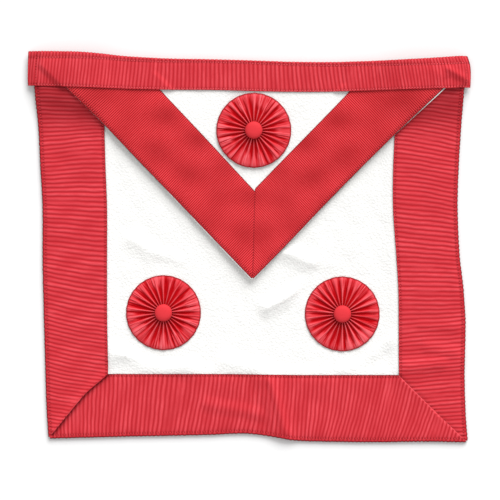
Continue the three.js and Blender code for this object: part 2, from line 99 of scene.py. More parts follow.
# Cloth, clearances and folds
LEATHER = 1.2 * MM
RIBBON = 1 * MM
GAP = 0.3 * MM
BAND_EASE = 7 * MM
PANEL_EASE = 14 * MM
FOLD_HEIGHT = 2.4 * MM
SIDE_LIFT = 6.5 * MM  # how far the side borders rise off the floor as they reach the band
LIFT_RUN = 34 * MM  # over what length they rise
LIFT_EDGE = 26 * MM  # how far beyond the borders' inner seams the rise fades out
LIFT_OUTSIDE = 0.5  # share of the rise that is left at the borders' outer edges
BAND_SHADE = 0.4  # how much darker the side borders are painted by the band: a painted shadow of the band and flap over them
SHADE_RUN = (52 * MM, 16 * MM)  # how far below the band the painted shadow starts and is full

# Ribs of the ribbons, and their samples
RIB_DEPTH = 0.48 * MM
TRIM_RIB_PITCH = 1.75 * MM
TRIM_RIB_DEPTH = 0.42 * MM
RIB_SAMPLES = 8
TRIM_RIB_SAMPLES = 5
YARN = 0.35 * MM  # pitch of the fine threads over the ribs

HALF_WIDTH = APRON_WIDTH / 2
HALF_INNER = HALF_WIDTH - BORDER_WIDTH
LAYER = RIBBON + GAP
ROLL_RADIUS = (LEATHER + 2 * LAYER) / 2
WAIST = APRON_DEPTH - BAND_WIDTH
BACK_EDGE = APRON_DEPTH - BAND_BACK_WIDTH
SEAM_END = APRON_DEPTH - SEAM_DEPTH
TIP = APRON_DEPTH - FLAP_DEPTH
FLAP_DROP = WAIST - TIP
BAND_END = HALF_WIDTH + BAND_OVERHANG
FLAP_REACH = FLAP_WIDTH / 2 + FLAP_CORNER
ROSETTE_RADIUS = ROSETTE_DIAMETER / 2
SETBACK = GAP / math.sqrt(2)
TAU = 2 * math.pi


def rows(columns, *values):
    """A table with named columns, one row for each tuple."""
    return np.array(list(values), dtype=[(name, float) for name in columns.split()])


# How the laid apron departs from the pattern. Sideways shifts are shares of the apron's width, for the
# outer edges and the borders' inner seams, at shares of the depth up from the hem.
SIDEWAYS = rows(
    "up left left_seam right_seam right",
    (0, 0.033, 0.0214, -0.004, 0.0045),
    (0.08, 0.0284, 0.0214, -0.0045, -0.0008),
    (0.18, 0.0256, 0.0212, -0.0055, -0.003),
    (0.3, 0.0226, 0.019, -0.0058, -0.0008),
    (0.39, 0.0205, 0.0186, -0.0065, -0.0055),
    (0.48, 0.0191, 0.0186, -0.0113, -0.0146),
    (0.6, 0.0191, 0.0186, -0.0186, -0.0191),
    (0.7, 0.014, 0.0153, -0.0186, -0.0168),
    (0.8, 0.0095, 0.0128, -0.015, -0.0115),
    (0.915, 0, 0.0118, -0.0118, -0.0042),
    (0.97, 0, 0.0118, -0.0118, -0.0042),
    (1, 0.001, 0.0118, -0.0118, -0.0117),
)
# Shifts up and down are shares of the depth, for the hem, the hem border's seam, the band's lower edge and
# the top fold, at shares of the width from the centre line.
LENGTHWISE = rows(
    "across hem seam waist top",
    (-0.5, 0.0025, 0.002, 0.0053, 0.0053),
    (-0.4, 0.005, 0.002, 0.0006, 0.0026),
    (-0.3, 0.0078, 0.002, -0.003, -0.0076),
    (-0.2, 0.0098, 0.002, -0.0053, -0.0135),
    (-0.1, 0.0124, 0.002, -0.0058, -0.0156),
    (-0.02, 0.0154, 0.0015, -0.0078, -0.0178),
    (0.04, 0.008, 0.0005, -0.0098, -0.02),
    (0.1, -0.0025, -0.0006, -0.0107, -0.0222),
    (0.2, -0.006, -0.0006, -0.0102, -0.0228),
    (0.3, -0.007, -0.0006, -0.0072, -0.0198),
    (0.4, -0.0055, -0.0006, -0.004, -0.015),
    (0.5, -0.0072, -0.0006, 0, -0.0072),
)
# Soft folds of the body. Places are shares of the width and depth, spread is half the fold's width as a
# share of the apron's width, and height is a share of the fold height.
FOLDS = rows(
    "from_across from_up to_across to_up spread height",
    (0.074, 0, 0.028, 0.17, 0.045, 1),
    (-0.07, 0.2, 0.01, 0.185, 0.036, 0.7),
    (-0.33, 0.22, -0.16, 0.19, 0.04, 1.1),
    (0.22, 0.2, 0.32, 0.26, 0.036, 0.9),
    (0.035, 0.342, 0.115, 0.392, 0.034, 1.1),
    (0.115, 0.392, 0.19, 0.445, 0.03, 0.6),
    (-0.3, 0.52, -0.18, 0.455, 0.036, 0.45),
    (0.08, 0.49, 0.15, 0.46, 0.036, 0.8),
    (0.36, 0.18, 0.5, 0.21, 0.04, 0.5),
)
# Narrow waves of the borders' ribbon, in the same shares
RIBBON_FOLDS = rows(
    "from_across from_up to_across to_up spread height",
    (0.415, 0.24, 0.5, 0.226, 0.022, 0.5),
    (0.352, 0.192, 0.445, 0.198, 0.022, 0.5),
    (0.4, 0.3, 0.5, 0.29, 0.02, 0.3),
    (-0.5, 0.9, -0.37, 0.86, 0.03, 0.4),
    (0.082, 0, 0.036, 0.17, 0.017, 0.6),
    (-0.11, 0.085, 0.012, 0.058, 0.024, 0.55),
)
# The flap's height along its centre line and its edges, as shares of the rise, from the band to the point
FLAP_PROFILE = rows(
    "down middle edge",
    (0, 0, 0),
    (0.12, -0.15, 0.5),
    (0.25, -0.2, 0.6),
    (0.45, -0.35, 0.35),
    (0.75, 0, 0.25),
    (1, 0.5, 0.5),
)
# How much leather shows beyond the flap's ribbons, in millimetres, from the band to the point
PEEK = rows(
    "down left right",
    (0, 0.03, 1.1),
    (0.1, 0.05, 0.7),
    (0.2, 0.15, 0.4),
    (0.32, 0.3, 0.25),
    (0.55, 0.7, 0.5),
    (1, 0.8, 0.7),
)
# Rib pitch in millimetres, along the side borders (from the hem up), the hem and the band (from the left)
RIB_PITCH = rows(
    "share side hem band",
    (0, 3.5, 3.7, 2.7),
    (0.11, 3.6, 3.85, 2.85),
    (0.2, 3.75, 4.1, 3.4),
    (0.3, 4.0, 4.35, 3.8),
    (0.4, 4.25, 4.1, 4.05),
    (0.57, 4.35, 4.1, 4.15),
    (0.66, 4.1, 3.75, 3.95),
    (0.76, 3.95, 3.75, 3.5),
    (0.86, 3.65, 3.45, 2.95),
    (1, 3.4, 3.35, 2.75),
)
# How far a rib's end at the inner seam lies further along the strip than its end at the outer edge, in
# millimetres, and the same for the band's top fold and lower edge
RIB_LEAN = rows(
    "share left right hem band",
    (0, -6, -2, 2, 3),
    (0.12, -9, -4.6, 3, 3.4),
    (0.2, -11, -4.4, 4.4, 3.1),
    (0.29, -10.9, -4.5, 7.3, 1.9),
    (0.36, -9.9, 0.5, 9.5, 0.6),
    (0.44, -8.6, 4, 9.5, -0.5),
    (0.53, -3.7, 7.5, 6, -0.2),
    (0.61, -1, 9.3, 4.2, -2.6),
    (0.69, 4.6, 9.4, 12, -3.7),
    (0.77, 7, 12, 15.5, -3.6),
    (0.87, 1, 9, 18, -4.2),
    (1, 0, 2, 16, -1.5),
)
# Dents of the band near its ends, and rises as dents of less than nothing: places are shares of its length
# and width, sizes in millimetres
BAND_DENTS = rows(
    "from_along from_up to_along to_up spread depth",
    (0.951, 0.6, 0.99, 0.24, 3, -1.6),
    (0.95, 0.22, 0.974, 0.04, 5.5, 1.9),
    (0.915, 0.6, 0.94, 0.3, 5, -0.4),
)


def smoothstep(low, high, value):
    """0 below low, 1 above high, and the cubic 3s^2 - 2s^3 of the share s between them."""
    share = np.clip((value - low) / (high - low), 0, 1)
    return share * share * (3 - 2 * share)


def lerp(start, end, share):
    """Value at a share of the way from start to end."""
    return start + (end - start) * share


def stacked(*parts):
    """Arrays brought to one shape and put side by side in a new last axis."""
    return np.stack(np.broadcast_arrays(*parts), axis=-1)


def side_name(side):
    return "left" if side < 0 else "right"


def sampled(table, along, column, place):
    """Value of a column at places along a table: each span is the cubic through its two rows whose slope at
    a row is that of the line through the rows on both sides."""
    at, value = table[along], table[column]
    slope = np.empty_like(value)
    slope[1:-1] = (value[2:] - value[:-2]) / (at[2:] - at[:-2])
    slope[[0, -1]] = (value[[1, -1]] - value[[0, -2]]) / (at[[1, -1]] - at[[0, -2]])
    place = np.clip(place, at[0], at[-1])
    after = np.clip(np.searchsorted(at, place), 1, len(at) - 1)
    before = after - 1
    span = at[after] - at[before]
    f = (place - at[before]) / span
    pull = f * (1 - f) * span * ((1 - f) * slope[before] - f * slope[after])
    return lerp(value[before], value[after], f * f * (3 - 2 * f)) + pull


def between(places, values, at):
    """Straight-line value between listed places, held flat beyond both ends."""
    result = values[0]
    for low, high, start, end in zip(places, places[1:], values, values[1:]):
        result = result + (end - start) * np.clip((at - low) / (high - low), 0, 1)
    return result


def on_floor(across, up):
    """Where a place on the flat pattern lies, before the whole apron is centred on the frame's origin."""
    sides = [
        sampled(SIDEWAYS, "up", column, up / APRON_DEPTH) * APRON_WIDTH
        for column in ("left", "left_seam", "right_seam", "right")
    ]
    lengths = [
        sampled(LENGTHWISE, "across", column, across / APRON_WIDTH) * APRON_DEPTH
        for column in ("hem", "seam", "waist", "top")
    ]
    x = across + between([-HALF_WIDTH, -HALF_INNER, HALF_INNER, HALF_WIDTH], sides, across)
    y = up + between([0, BORDER_WIDTH, WAIST, APRON_DEPTH], lengths, up)
    return x, y


def ripple(seed, x, y, length, waves=6):
    """Smooth random height over a plane, mostly from -1 to 1: a sum of sine waves of random headings and
    phases, whose lengths lie round the one given."""
    random = np.random.default_rng(seed)
    total = 0
    for _ in range(waves):
        heading, phase, stretch = random.uniform(0, TAU), random.uniform(0, TAU), random.uniform(0.7, 1.4)
        run = x * math.cos(heading) + y * math.sin(heading)
        total = total + np.sin(TAU * run / (length * stretch) + phase)
    return total / math.sqrt(waves)


def flap_centre(up):
    return FLAP_SKEW * (up - TIP) / FLAP_DROP


def flap_edge(side, up):
    """The flap's left (-1) or right (1) edge; its corners under the band are cut off."""
    half = lerp(FLAP_TIP_WIDTH, FLAP_WIDTH, (up - TIP) / FLAP_DROP) / 2
    return np.clip(flap_centre(up) + side * half, -FLAP_REACH, FLAP_REACH)


def across_edge(side, width):
    """How far across the pattern a width square to the flap's edge reaches."""
    slope = (flap_edge(side, WAIST) - flap_edge(side, TIP)) / FLAP_DROP
    return width * math.hypot(1, slope)


# Centres of the rosettes on the pattern
ROSETTE_INSET = BORDER_WIDTH + SIDE_MARGIN + ROSETTE_RADIUS
ROSETTE_UP = BORDER_WIDTH + HEM_MARGIN + ROSETTE_RADIUS
BODY_ROSETTES = {
    "left": (ROSETTE_INSET - HALF_WIDTH, ROSETTE_UP),
    "right": (HALF_WIDTH - ROSETTE_INSET, ROSETTE_UP),
}


def round_node(node):
    """Centre, radius, underside and thickness of a round node, from its box."""
    low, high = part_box(node)
    return (low + high) / 2, (high.x - low.x) / 2, low.z, high.z - low.z


# From the floor places above to the frame: the left rosette's node shows how far the apron was moved
FLOOR_X, FLOOR_Y = on_floor(*BODY_ROSETTES["left"])
LEFT_ROSETTE = round_node("rosette_left")[0]
SHIFT_X = LEFT_ROSETTE.x - FLOOR_X
SHIFT_Y = LEFT_ROSETTE.y - FLOOR_Y


def laid(across, up, height):
    """Points of the frame for places on the pattern at given heights."""
    x, y = on_floor(across, up)
    return stacked(x + SHIFT_X, y + SHIFT_Y, height)


def line_distance(x, y, start, end):
    """Distance of places from the straight line between two points."""
    dx, dy = end[0] - start[0], end[1] - start[1]
    along = np.clip(((x - start[0]) * dx + (y - start[1]) * dy) / (dx * dx + dy * dy), 0, 1)
    return np.hypot(x - start[0] - along * dx, y - start[1] - along * dy)


def ridges(table, across, up, narrowing=1):
    """Greatest height of a table's folds, each a cosine-squared ridge along a line, as a share."""
    height = np.zeros(np.broadcast(across, up).shape)
    for fold in table:
        start = fold["from_across"] * APRON_WIDTH, fold["from_up"] * APRON_DEPTH
        end = fold["to_across"] * APRON_WIDTH, fold["to_up"] * APRON_DEPTH
        away = line_distance(across, up, start, end) / (fold["spread"] * APRON_WIDTH * narrowing)
        height = np.maximum(height, fold["height"] * np.cos(np.minimum(1, away) * math.pi / 2) ** 2)
    return height


def side_lift(across, up):
    """How far the layers stand off the floor near the band's two ends."""
    aside = np.abs(across)
    rise = SIDE_LIFT * smoothstep(WAIST - LIFT_RUN, WAIST, up)
    rise = rise * smoothstep(HALF_INNER - LIFT_EDGE, HALF_INNER + LIFT_EDGE / 2, aside)
    return rise * lerp(1, LIFT_OUTSIDE, smoothstep(HALF_INNER + LIFT_EDGE / 2, HALF_WIDTH, aside))


def held_flat(across, up):
    """0 under a rosette, whose leather is flat, and 1 well away from it."""
    free = 1
    for x, y in BODY_ROSETTES.values():
        clear = np.hypot(across - x, up - y) - ROSETTE_RADIUS
        free = free * smoothstep(ROSETTE_HOLD, 3 * ROSETTE_HOLD, clear)
    return free


def fold_height(across, up):
    """Height of the body's soft folds and of its lift near the band's ends."""
    return FOLD_HEIGHT * ridges(FOLDS, across, up) * held_flat(across, up) + side_lift(across, up)


def body_underside(across, up):
    """Height of the leather's underside: up on the turned-under ribbon at the edges, on the floor inside."""
    inset = np.minimum(HALF_WIDTH - np.abs(across), up)
    edge = smoothstep(0, 1, (BORDER_WIDTH + PANEL_EASE - inset) / PANEL_EASE)
    top = np.clip((up - WAIST) / (BACK_EDGE - WAIST), 0, 1)
    return LAYER * np.maximum(edge, top) + fold_height(across, up)


def flap_underside(across, up):
    """Height of the flap's underside, which lies on the side borders and stands clear towards its point."""
    down = (WAIST - up) / FLAP_DROP
    middle, edge = (sampled(FLAP_PROFILE, "down", column, down) for column in ("middle", "edge"))
    out = smoothstep(0, HALF_INNER, np.abs(across))
    return LAYER + LEATHER + GAP + LAYER + FLAP_RISE * lerp(middle, edge, out) + side_lift(across, up)


# Meshes

SAME_POINT = 1e-4 * MM  # points this near each other are one
SHARP_TURN = math.radians(50)  # faces that meet at more than this show an edge


def linked(name, data):
    """A new object of the scene."""
    made = bpy.data.objects.new(name, data)
    bpy.context.scene.collection.objects.link(made)
    return made


def welded(points, faces, extras):
    """Joins points that meet, drops triangles that have collapsed, and turns the rest outwards."""
    keys = np.round(points / SAME_POINT).astype(np.int64)
    _, first, same = np.unique(keys, axis=0, return_index=True, return_inverse=True)
    faces = same.reshape(-1)[faces]
    a, b, c = faces.T
    faces = faces[(a != b) & (b != c) & (c != a)]
    points = points[first]
    a, b, c = (points[faces[:, k]] for k in range(3))
    volume = (a * np.cross(b, c)).sum()
    if volume < 0:
        faces = faces[:, ::-1]
    return points, faces, [extra[first] for extra in extras]


def grid_quads(height, width, start, turned):
    """Corners of a grid's cells, for points numbered row by row from a start."""
    number = start + np.arange(height * width).reshape(height, width)
    quads = stacked(number[:-1, :-1], number[1:, :-1], number[1:, 1:], number[:-1, 1:]).reshape(-1, 4)
    return quads[:, ::-1] if turned else quads


def triangles(quads):
    return np.concatenate([quads[:, [0, 1, 2]], quads[:, [0, 2, 3]]])


def new_object(name, points, faces, material, values, uv):
    """A piece from arrays of points and triangles, with named values and a UV place at each point."""
    mesh = bpy.data.meshes.new(name)
    mesh.vertices.add(len(points))
    mesh.vertices.foreach_set("co", points.astype(np.float32).ravel())
    mesh.loops.add(faces.size)
    mesh.loops.foreach_set("vertex_index", faces.astype(np.int32).ravel())
    mesh.polygons.add(len(faces))
    mesh.polygons.foreach_set("loop_start", np.arange(0, faces.size, 3, dtype=np.int32))
    mesh.update(calc_edges=True)
    mesh.polygons.foreach_set("use_smooth", np.ones(len(faces), bool))
    for title, value in values.items():
        layer = mesh.attributes.new(title, "FLOAT", "POINT")
        layer.data.foreach_set("value", value.astype(np.float32))
    layer = mesh.uv_layers.new(name="cloth")
    layer.uv.foreach_set("vector", uv[faces.ravel()].astype(np.float32).ravel())
    mesh.set_sharp_from_angle(angle=SHARP_TURN)
    mesh.validate()
    mesh.materials.append(material)
    piece = linked(name, mesh)
    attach(piece, "root")
    return piece


def sheet_object(name, outer, inner, material, values, uv):
    """A closed sheet between two grids of points, joined to each other round their four edges."""
    height, width = outer.shape[:2]
    count = height * width
    number = np.arange(count).reshape(height, width)
    faces = [grid_quads(height, width, 0, False), grid_quads(height, width, count, True)]
    edges = (number[0], True), (number[-1], False), (number[:, 0], False), (number[:, -1], True)
    for edge, turned in edges:
        rim = stacked(edge[:-1], edge[1:], edge[1:] + count, edge[:-1] + count)
        faces.append(rim[:, ::-1] if turned else rim)
    points = np.concatenate([outer.reshape(-1, 3), inner.reshape(-1, 3)])
    extras = [np.tile(value.reshape(-1), 2) for value in values.values()]
    extras.append(np.tile(uv.reshape(-1, 2), (2, 1)))
    points, faces, extras = welded(points, triangles(np.concatenate(faces)), extras)
    return new_object(name, points, faces, material, dict(zip(values, extras)), extras[-1])


# Materials

MIX_FACTOR, MIX_A, MIX_B, MIX_RESULT = 0, 6, 7, 2  # sockets of a Mix node set to colours


class Socket:
    """A node's output with Python's operators, each of which adds its Math node."""

    def __init__(self, tree, link=None):
        self.tree, self.link = tree, link

    def add(self, kind, settings, inputs, output=0):
        """A new node: its settings are set first, and then the values or links of its sockets."""
        node = self.tree.nodes.new(kind)
        for title, value in settings.items():
            setattr(node, title, value)
        for title, value in inputs.items():
            if isinstance(value, Socket):
                self.tree.links.new(value.link, node.inputs[title])
            else:
                node.inputs[title].default_value = value
        return Socket(self.tree, node.outputs[output]) if len(node.outputs) else node

    def math(self, operation, *values):
        return self.add("ShaderNodeMath", {"operation": operation}, dict(enumerate(values)))

    def sine(self):
        return self.math("SINE", self)

    def mixed(self, start, end):
        """The colour between two, by this socket as the factor."""
        inputs = {MIX_FACTOR: self, MIX_A: start, MIX_B: end}
        return self.add("ShaderNodeMix", {"data_type": "RGBA"}, inputs, MIX_RESULT)

    def __add__(self, other):
        return self.math("ADD", self, other)

    def __sub__(self, other):
        return self.math("SUBTRACT", self, other)

    def __mul__(self, other):
        return self.math("MULTIPLY", self, other)

    __radd__ = __add__
    __rmul__ = __mul__


def finish(name, constants, pattern):
    """A material. Constants are set on the shader's own sockets; pattern(start) returns the links of those
    that vary and the height, in metres, of the surface's fine relief."""
    made = bpy.data.materials.new(name)
    made.use_nodes = True
    tree = made.node_tree
    tree.nodes.clear()
    start = Socket(tree)
    links, height = pattern(start)
    bump = start.add("ShaderNodeBump", {}, {"Strength": 1.0, "Distance": 1.0, "Height": height})
    shader = start.add("ShaderNodeBsdfPrincipled", {}, {**constants, **links, "Normal": bump})
    start.add("ShaderNodeOutputMaterial", {}, {"Surface": shader})
    return made


def color(red, green, blue):
    return (red, green, blue, 1.0)


def palette(**tones):
    """Named colours of a ribbon: a shade colour for its dark edges, stitch lines and painted shade, its
    valley and crest tones, and the painted highlight on its ribs.
    """
    return {name: color(*tone) for name, tone in tones.items()}


def place(start):
    """A point's own place on the piece, in metres."""
    return start.add("ShaderNodeTexCoord", {}, {}, "Object")


def noise(start, size, detail=3.0):
    inputs = {"Vector": place(start), "Scale": 1 / size, "Detail": detail}
    return start.add("ShaderNodeTexNoise", {}, inputs, "Fac")


def attribute(start, name):
    return start.add("ShaderNodeAttribute", {"attribute_name": name}, {}, "Fac")


def threads(start, pitch, axis):
    """A sine wave along the cloth's own U (0) or V (1), from 0 to 1."""
    cloth = start.add("ShaderNodeUVMap", {"uv_map": "cloth"}, {})
    way = start.add("ShaderNodeSeparateXYZ", {}, {"Vector": cloth}, axis)
    return (way * (TAU / pitch)).sine() * 0.5 + 0.5


STREAK_ORIGIN = (3, 0, 0)  # where in the noise the streaks start


def streaks(start, length, width):
    """Noise drawn out along the ribs: a length across the strip (U) and a width along it (V)."""
    cloth = start.add("ShaderNodeUVMap", {"uv_map": "cloth"}, {})
    scale = {"Vector": cloth, "Scale": (1 / length, 1 / width, 1), "Location": STREAK_ORIGIN}
    where = start.add("ShaderNodeMapping", {}, scale)
    return start.add("ShaderNodeTexNoise", {}, {"Vector": where, "Scale": 1.0, "Detail": 2.0}, "Fac")


CLOUD_SIZE = 38 * MM  # of the ribbon's slow changes of tone
FLECK_SIZE = 0.8 * MM
STREAK_SIZE = (9 * MM, 1.3 * MM)  # length across the strip, along a rib, and width
FLECK_RELIEF = 0.05 * MM
STREAK_RELIEF = 0.06 * MM
SHEEN = {"Sheen Weight": 0.02, "Sheen Roughness": 0.45}


def ribbon_finish(name, colors, yarn, yarn_depth, roughness, specular):
    """Ribbed ribbon: its tone goes from valley to crest with the ribs, the valleys partly the cloth's own
    darker colour and partly painted shade; streaks of painted highlight catch the light on crests, and fine
    threads run over them. "edge" darkens selvedges and stitch lines, and paints shade on turned edges, on the
    band's fold, beside the corners' lips and on the side borders below the band."""

    def pattern(start):
        rib = attribute(start, "rib")
        edge = attribute(start, "edge")
        cloud = noise(start, CLOUD_SIZE)
        fleck = noise(start, FLECK_SIZE, 2.0)
        streak = streaks(start, *STREAK_SIZE)
        thread = threads(start, yarn, 0)
        # darker in the ribs' valleys, partly the cloth's own colour and partly painted shade; painted
        # highlight along streaks on the crests
        tone = rib.mixed(colors["valley"], colors["crest"])
        lit = (rib * rib * (streak * 1.5 + cloud * 0.7 - 0.6)).mixed(tone, colors["light"])
        # random patches where the painted highlight gives way to the plain rib tone
        worn = (cloud * 0.5 + fleck * 0.35).mixed(lit, tone)
        base = edge.mixed(worn, colors["shade"])
        rough = roughness + 0.12 * fleck - 0.06 * rib
        height = thread * yarn_depth + fleck * FLECK_RELIEF + streak * STREAK_RELIEF
        return {"Base Color": base, "Roughness": rough}, height

    return finish(name, {**SHEEN, "Specular IOR Level": specular}, pattern)


PEBBLE_SIZE = 1.7 * MM
GRAIN_SIZE = 0.5 * MM
STAIN_SIZE = 30 * MM  # of the leather's slight cloudiness
PEBBLE_RELIEF = 0.4 * MM
GRAIN_RELIEF = 0.16 * MM


def leather_finish(name, pale, shade):
    """White leather: pebbled grain, a slight cloudiness, and painted shade in the hollows between the
    pebbles.
    """

    def pattern(start):
        cells = {"Vector": place(start), "Scale": 1 / PEBBLE_SIZE, "Randomness": 1.0}
        pebble = start.add("ShaderNodeTexVoronoi", {"feature": "SMOOTH_F1"}, cells, "Distance")
        fine = noise(start, GRAIN_SIZE)
        cloud = noise(start, STAIN_SIZE)
        grain = pebble * 0.7 + fine * 0.3
        # darker between the pebbles as painted shade, and in soft random clouds
        base = (grain * 0.35 + cloud * 0.25).mixed(pale, shade)
        rough = 0.5 + 0.15 * fine + 0.08 * cloud
        height = fine * GRAIN_RELIEF - pebble * PEBBLE_RELIEF
        return {"Base Color": base, "Roughness": rough}, height

    return finish(name, {"Specular IOR Level": 0.4}, pattern)


BORDER_COLORS = palette(
    shade=(0.16, 0.002, 0.005),
    valley=(0.47, 0.014, 0.022),
    crest=(0.67, 0.043, 0.058),
    light=(0.88, 0.125, 0.150),
)
TRIM_COLORS = palette(
    shade=(0.16, 0.002, 0.005),
    valley=(0.22, 0.001, 0.003),
    crest=(0.84, 0.042, 0.052),
    light=(0.92, 0.085, 0.105),
)
ROSETTE_COLORS = palette(
    shade=(0.24, 0.003, 0.006),
    valley=(0.46, 0.001, 0.004),
    crest=(0.74, 0.038, 0.055),
    light=(1.00, 0.330, 0.360),
)
BUTTON_COLORS = palette(
    shade=(0.30, 0.006, 0.010),
    valley=(0.56, 0.020, 0.028),
    crest=(0.68, 0.034, 0.044),
    light=(0.74, 0.044, 0.056),
)
THREAD_COLORS = palette(
    shade=(0.30, 0.006, 0.010),
    valley=(0.56, 0.020, 0.028),
    crest=(0.82, 0.085, 0.105),
    light=(0.92, 0.190, 0.215),
)

border_ribbon = ribbon_finish("border_ribbon", BORDER_COLORS, YARN, 0.05 * MM, 0.62, 0.1)
trim_ribbon = ribbon_finish("trim_ribbon", TRIM_COLORS, YARN, 0.04 * MM, 0.6, 0.1)
rosette_ribbon = ribbon_finish("rosette_ribbon", ROSETTE_COLORS, 0.9 * MM, 0.05 * MM, 0.6, 0.04)
button_cloth = ribbon_finish("button_cloth", BUTTON_COLORS, 0.5 * MM, 0.03 * MM, 0.55, 0.1)
sewing_thread = ribbon_finish("sewing_thread", THREAD_COLORS, 0.4 * MM, 0.03 * MM, 0.6, 0.1)
white_leather = leather_finish("white_leather", color(0.88, 0.875, 0.86), color(0.74, 0.735, 0.71))


# Leather


def steps(low, high, size):
    """Even places from low to high, no more than a size apart."""
    return np.linspace(low, high, max(2, math.ceil(abs(high - low) / size) + 1))


LEATHER_CELL = 2.6 * MM
CREASE_RISE = 1.2 * MM
CREASE_SHARE = 0.25  # width of a fold's sharper line, as a share of the fold's
LEATHER_WAVES = ((3, 0.3 * MM, 46 * MM), (4, 0.14 * MM, 15 * MM))  # seed, height and length of each


def leather_relief(across, up):
    """Small rises of the leather: two soft random waves and a sharper line along each of its folds."""
    waves = sum(height * ripple(seed, across, up, length) for seed, height, length in LEATHER_WAVES)
    return np.abs(waves) + CREASE_RISE * ridges(FOLDS, across, up, CREASE_SHARE) * held_flat(across, up)


def leather_body():
    """The leather from just inside the turned edge on every side: its grid is even on the pattern."""
    inner = HALF_WIDTH - ROLL_RADIUS
    across = steps(-inner, inner, LEATHER_CELL)[:, None]
    up = steps(ROLL_RADIUS, APRON_DEPTH - ROLL_RADIUS, LEATHER_CELL)[None, :]
    inset = np.minimum(HALF_WIDTH - np.abs(across), up)
    open_part = smoothstep(BORDER_WIDTH, BORDER_WIDTH + PANEL_EASE, inset)
    height = body_underside(across, up) + leather_relief(across, up) * open_part
    across, up = np.broadcast_arrays(across, up)
    outer, inner = laid(across, up, height + LEATHER), laid(across, up, height)
    piece = sheet_object("leather_body", outer, inner, white_leather, {}, stacked(across, up))
    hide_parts("body_panel")
    return piece


def peek(side, down):
    """How much of the flap's leather shows beyond its ribbon, square to the edge."""
    return sampled(PEEK, "down", side_name(side), down) * MM


CURL_LINES = (0, 0.5, 1, 1.4)  # grid lines by the flap's edges, in widths of the leather that shows there
FLAP_HALF = 45  # grid lines of each half of the flap between those
FLAP_WAVE = (0.3 * MM, 40 * MM)  # height and length


def leather_flap():
    """The flap: rows run down from under the band to the blunt point, columns share its width between two
    narrow curled edges."""
    up = steps(SEAM_END, TIP, LEATHER_CELL)[:, None]
    share = np.concatenate([np.zeros(3), np.linspace(0, 1, 2 * FLAP_HALF), np.ones(3)])[None, :]
    aside = across_edge(1, LEATHER_PEEK) * np.concatenate([CURL_LINES[:3], np.full(FLAP_HALF, CURL_LINES[3])])
    from_edge = np.concatenate([aside, aside[::-1]])[None, :]
    half = share < 0.5
    low, high = flap_edge(-1, up), flap_edge(1, up)
    inner_low, inner_high = low + aside[-1], high - aside[-1]
    across = lerp(inner_low, inner_high, share) + np.where(half, from_edge - aside[-1], aside[-1] - from_edge)
    up = np.broadcast_to(up, across.shape)
    down = (WAIST - up) / FLAP_DROP
    bead = np.where(half, peek(-1, down), peek(1, down))
    curl = bead * (1 - smoothstep(0, across_edge(1, 1) * bead, from_edge))
    curl = curl * smoothstep(0, PANEL_EASE, WAIST - up)
    relief = FLAP_WAVE[0] * ripple(8, across, up, FLAP_WAVE[1]) * smoothstep(TIP, TIP + PANEL_EASE, up)
    height = flap_underside(across, up) + np.minimum(relief, 0)
    outer, inner = laid(across, up, height + LEATHER + curl), laid(across, up, height)
    piece = sheet_object("leather_flap", outer, inner, white_leather, {}, stacked(across, up))
    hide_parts("flap_panel")
    return piece


# Ribbed ribbon


RIB_WAVE = 60 * MM  # length of the ribs' slow wander
RIB_WOBBLE = 17 * MM  # length of their quick one
RIB_BEND = 0.35  # how much steeper a leaning rib is at its outer end
RIB_STRENGTH = (0.72, 1.05)  # of the weakest and the strongest rib
RIB_POWER = 1.3  # of the sine that is a rib's section
RIB_PATCH = (0.95, 0.14)  # middle and swing of the ribs' height over wide patches
WORN_RIB = 0.8  # height that worn ribs and their valleys come together at
WORN_MOST = 0.45  # how far they come together at most
RIB_WANDER = 0.4 * MM
BAND_WANDER = 0.25 * MM
RIB_SPARE = 20 * MM  # ribs laid out beyond a strip's ends, because the leaning ones come in from there


class Ribs:
    """The ribs of one strip: steps along it, how each rib wanders from a straight line, and how much it
    stands out. The phase of a rib is the integral of one over the pitch."""

    def __init__(self, pitches, leans, low, high, width, seed, wander=RIB_WANDER):
        self.low, self.length, self.width = low, high - low, width
        self.leans, self.seed, self.wander = leans, seed, wander
        fine = np.linspace(low - RIB_SPARE, high + RIB_SPARE, 4000)
        pitch = sampled(RIB_PITCH, "share", pitches, (fine - low) / self.length) * MM
        phase = np.concatenate([[0], np.cumsum(np.diff(fine) * 2 / (pitch[1:] + pitch[:-1]))])
        wanted = np.arange(0, math.floor(phase[-1] * RIB_SAMPLES) + 1) / RIB_SAMPLES
        self.places, self.curve = np.interp(wanted, phase, fine), (fine, phase)
        self.strength = np.random.default_rng(seed).uniform(*RIB_STRENGTH, math.ceil(phase[-1]) + 2)

    def wandering(self, along, aside):
        """How far a rib lies from its straight line: its lean, steeper by the outer edge, and two smooth
        random waves."""
        lean = sampled(RIB_LEAN, "share", self.leans, (along - self.low) / self.length) * MM
        share = aside / self.width
        bent = share + RIB_BEND * share * (1 - share) - 0.5
        slow = ripple(self.seed, along, aside, RIB_WAVE)
        quick = ripple(self.seed + 1, along * 2, aside, RIB_WOBBLE)
        return lean * bent + self.wander * (slow + 0.4 * quick)

    def grid(self, aside, low, high):
        """Places along the strip for each rib step and each place aside, kept between two ends, and the
        share of the rib's height there: a power of |sin|, less on weak ribs and in worn patches."""
        straight = np.broadcast_to(self.places[:, None], (len(self.places), aside.size))
        along = straight + self.wandering(straight, aside)
        kept = np.clip(along, low, high)
        straight = np.where(kept == along, straight, kept - self.wandering(kept, aside))
        phase = np.interp(straight, *self.curve)
        own = self.strength[np.clip(np.floor(phase).astype(int), 0, len(self.strength) - 1)]
        patch = RIB_PATCH[0] + RIB_PATCH[1] * ripple(self.seed + 2, kept * 2, aside, 40 * MM)
        worn = np.clip(ripple(self.seed + 3, kept * 4, aside, 60 * MM) - 1, 0, WORN_MOST)
        section = np.abs(np.sin(math.pi * phase)) ** RIB_POWER
        return kept, np.clip(lerp(section, WORN_RIB, worn) * own * patch, 0, 1)


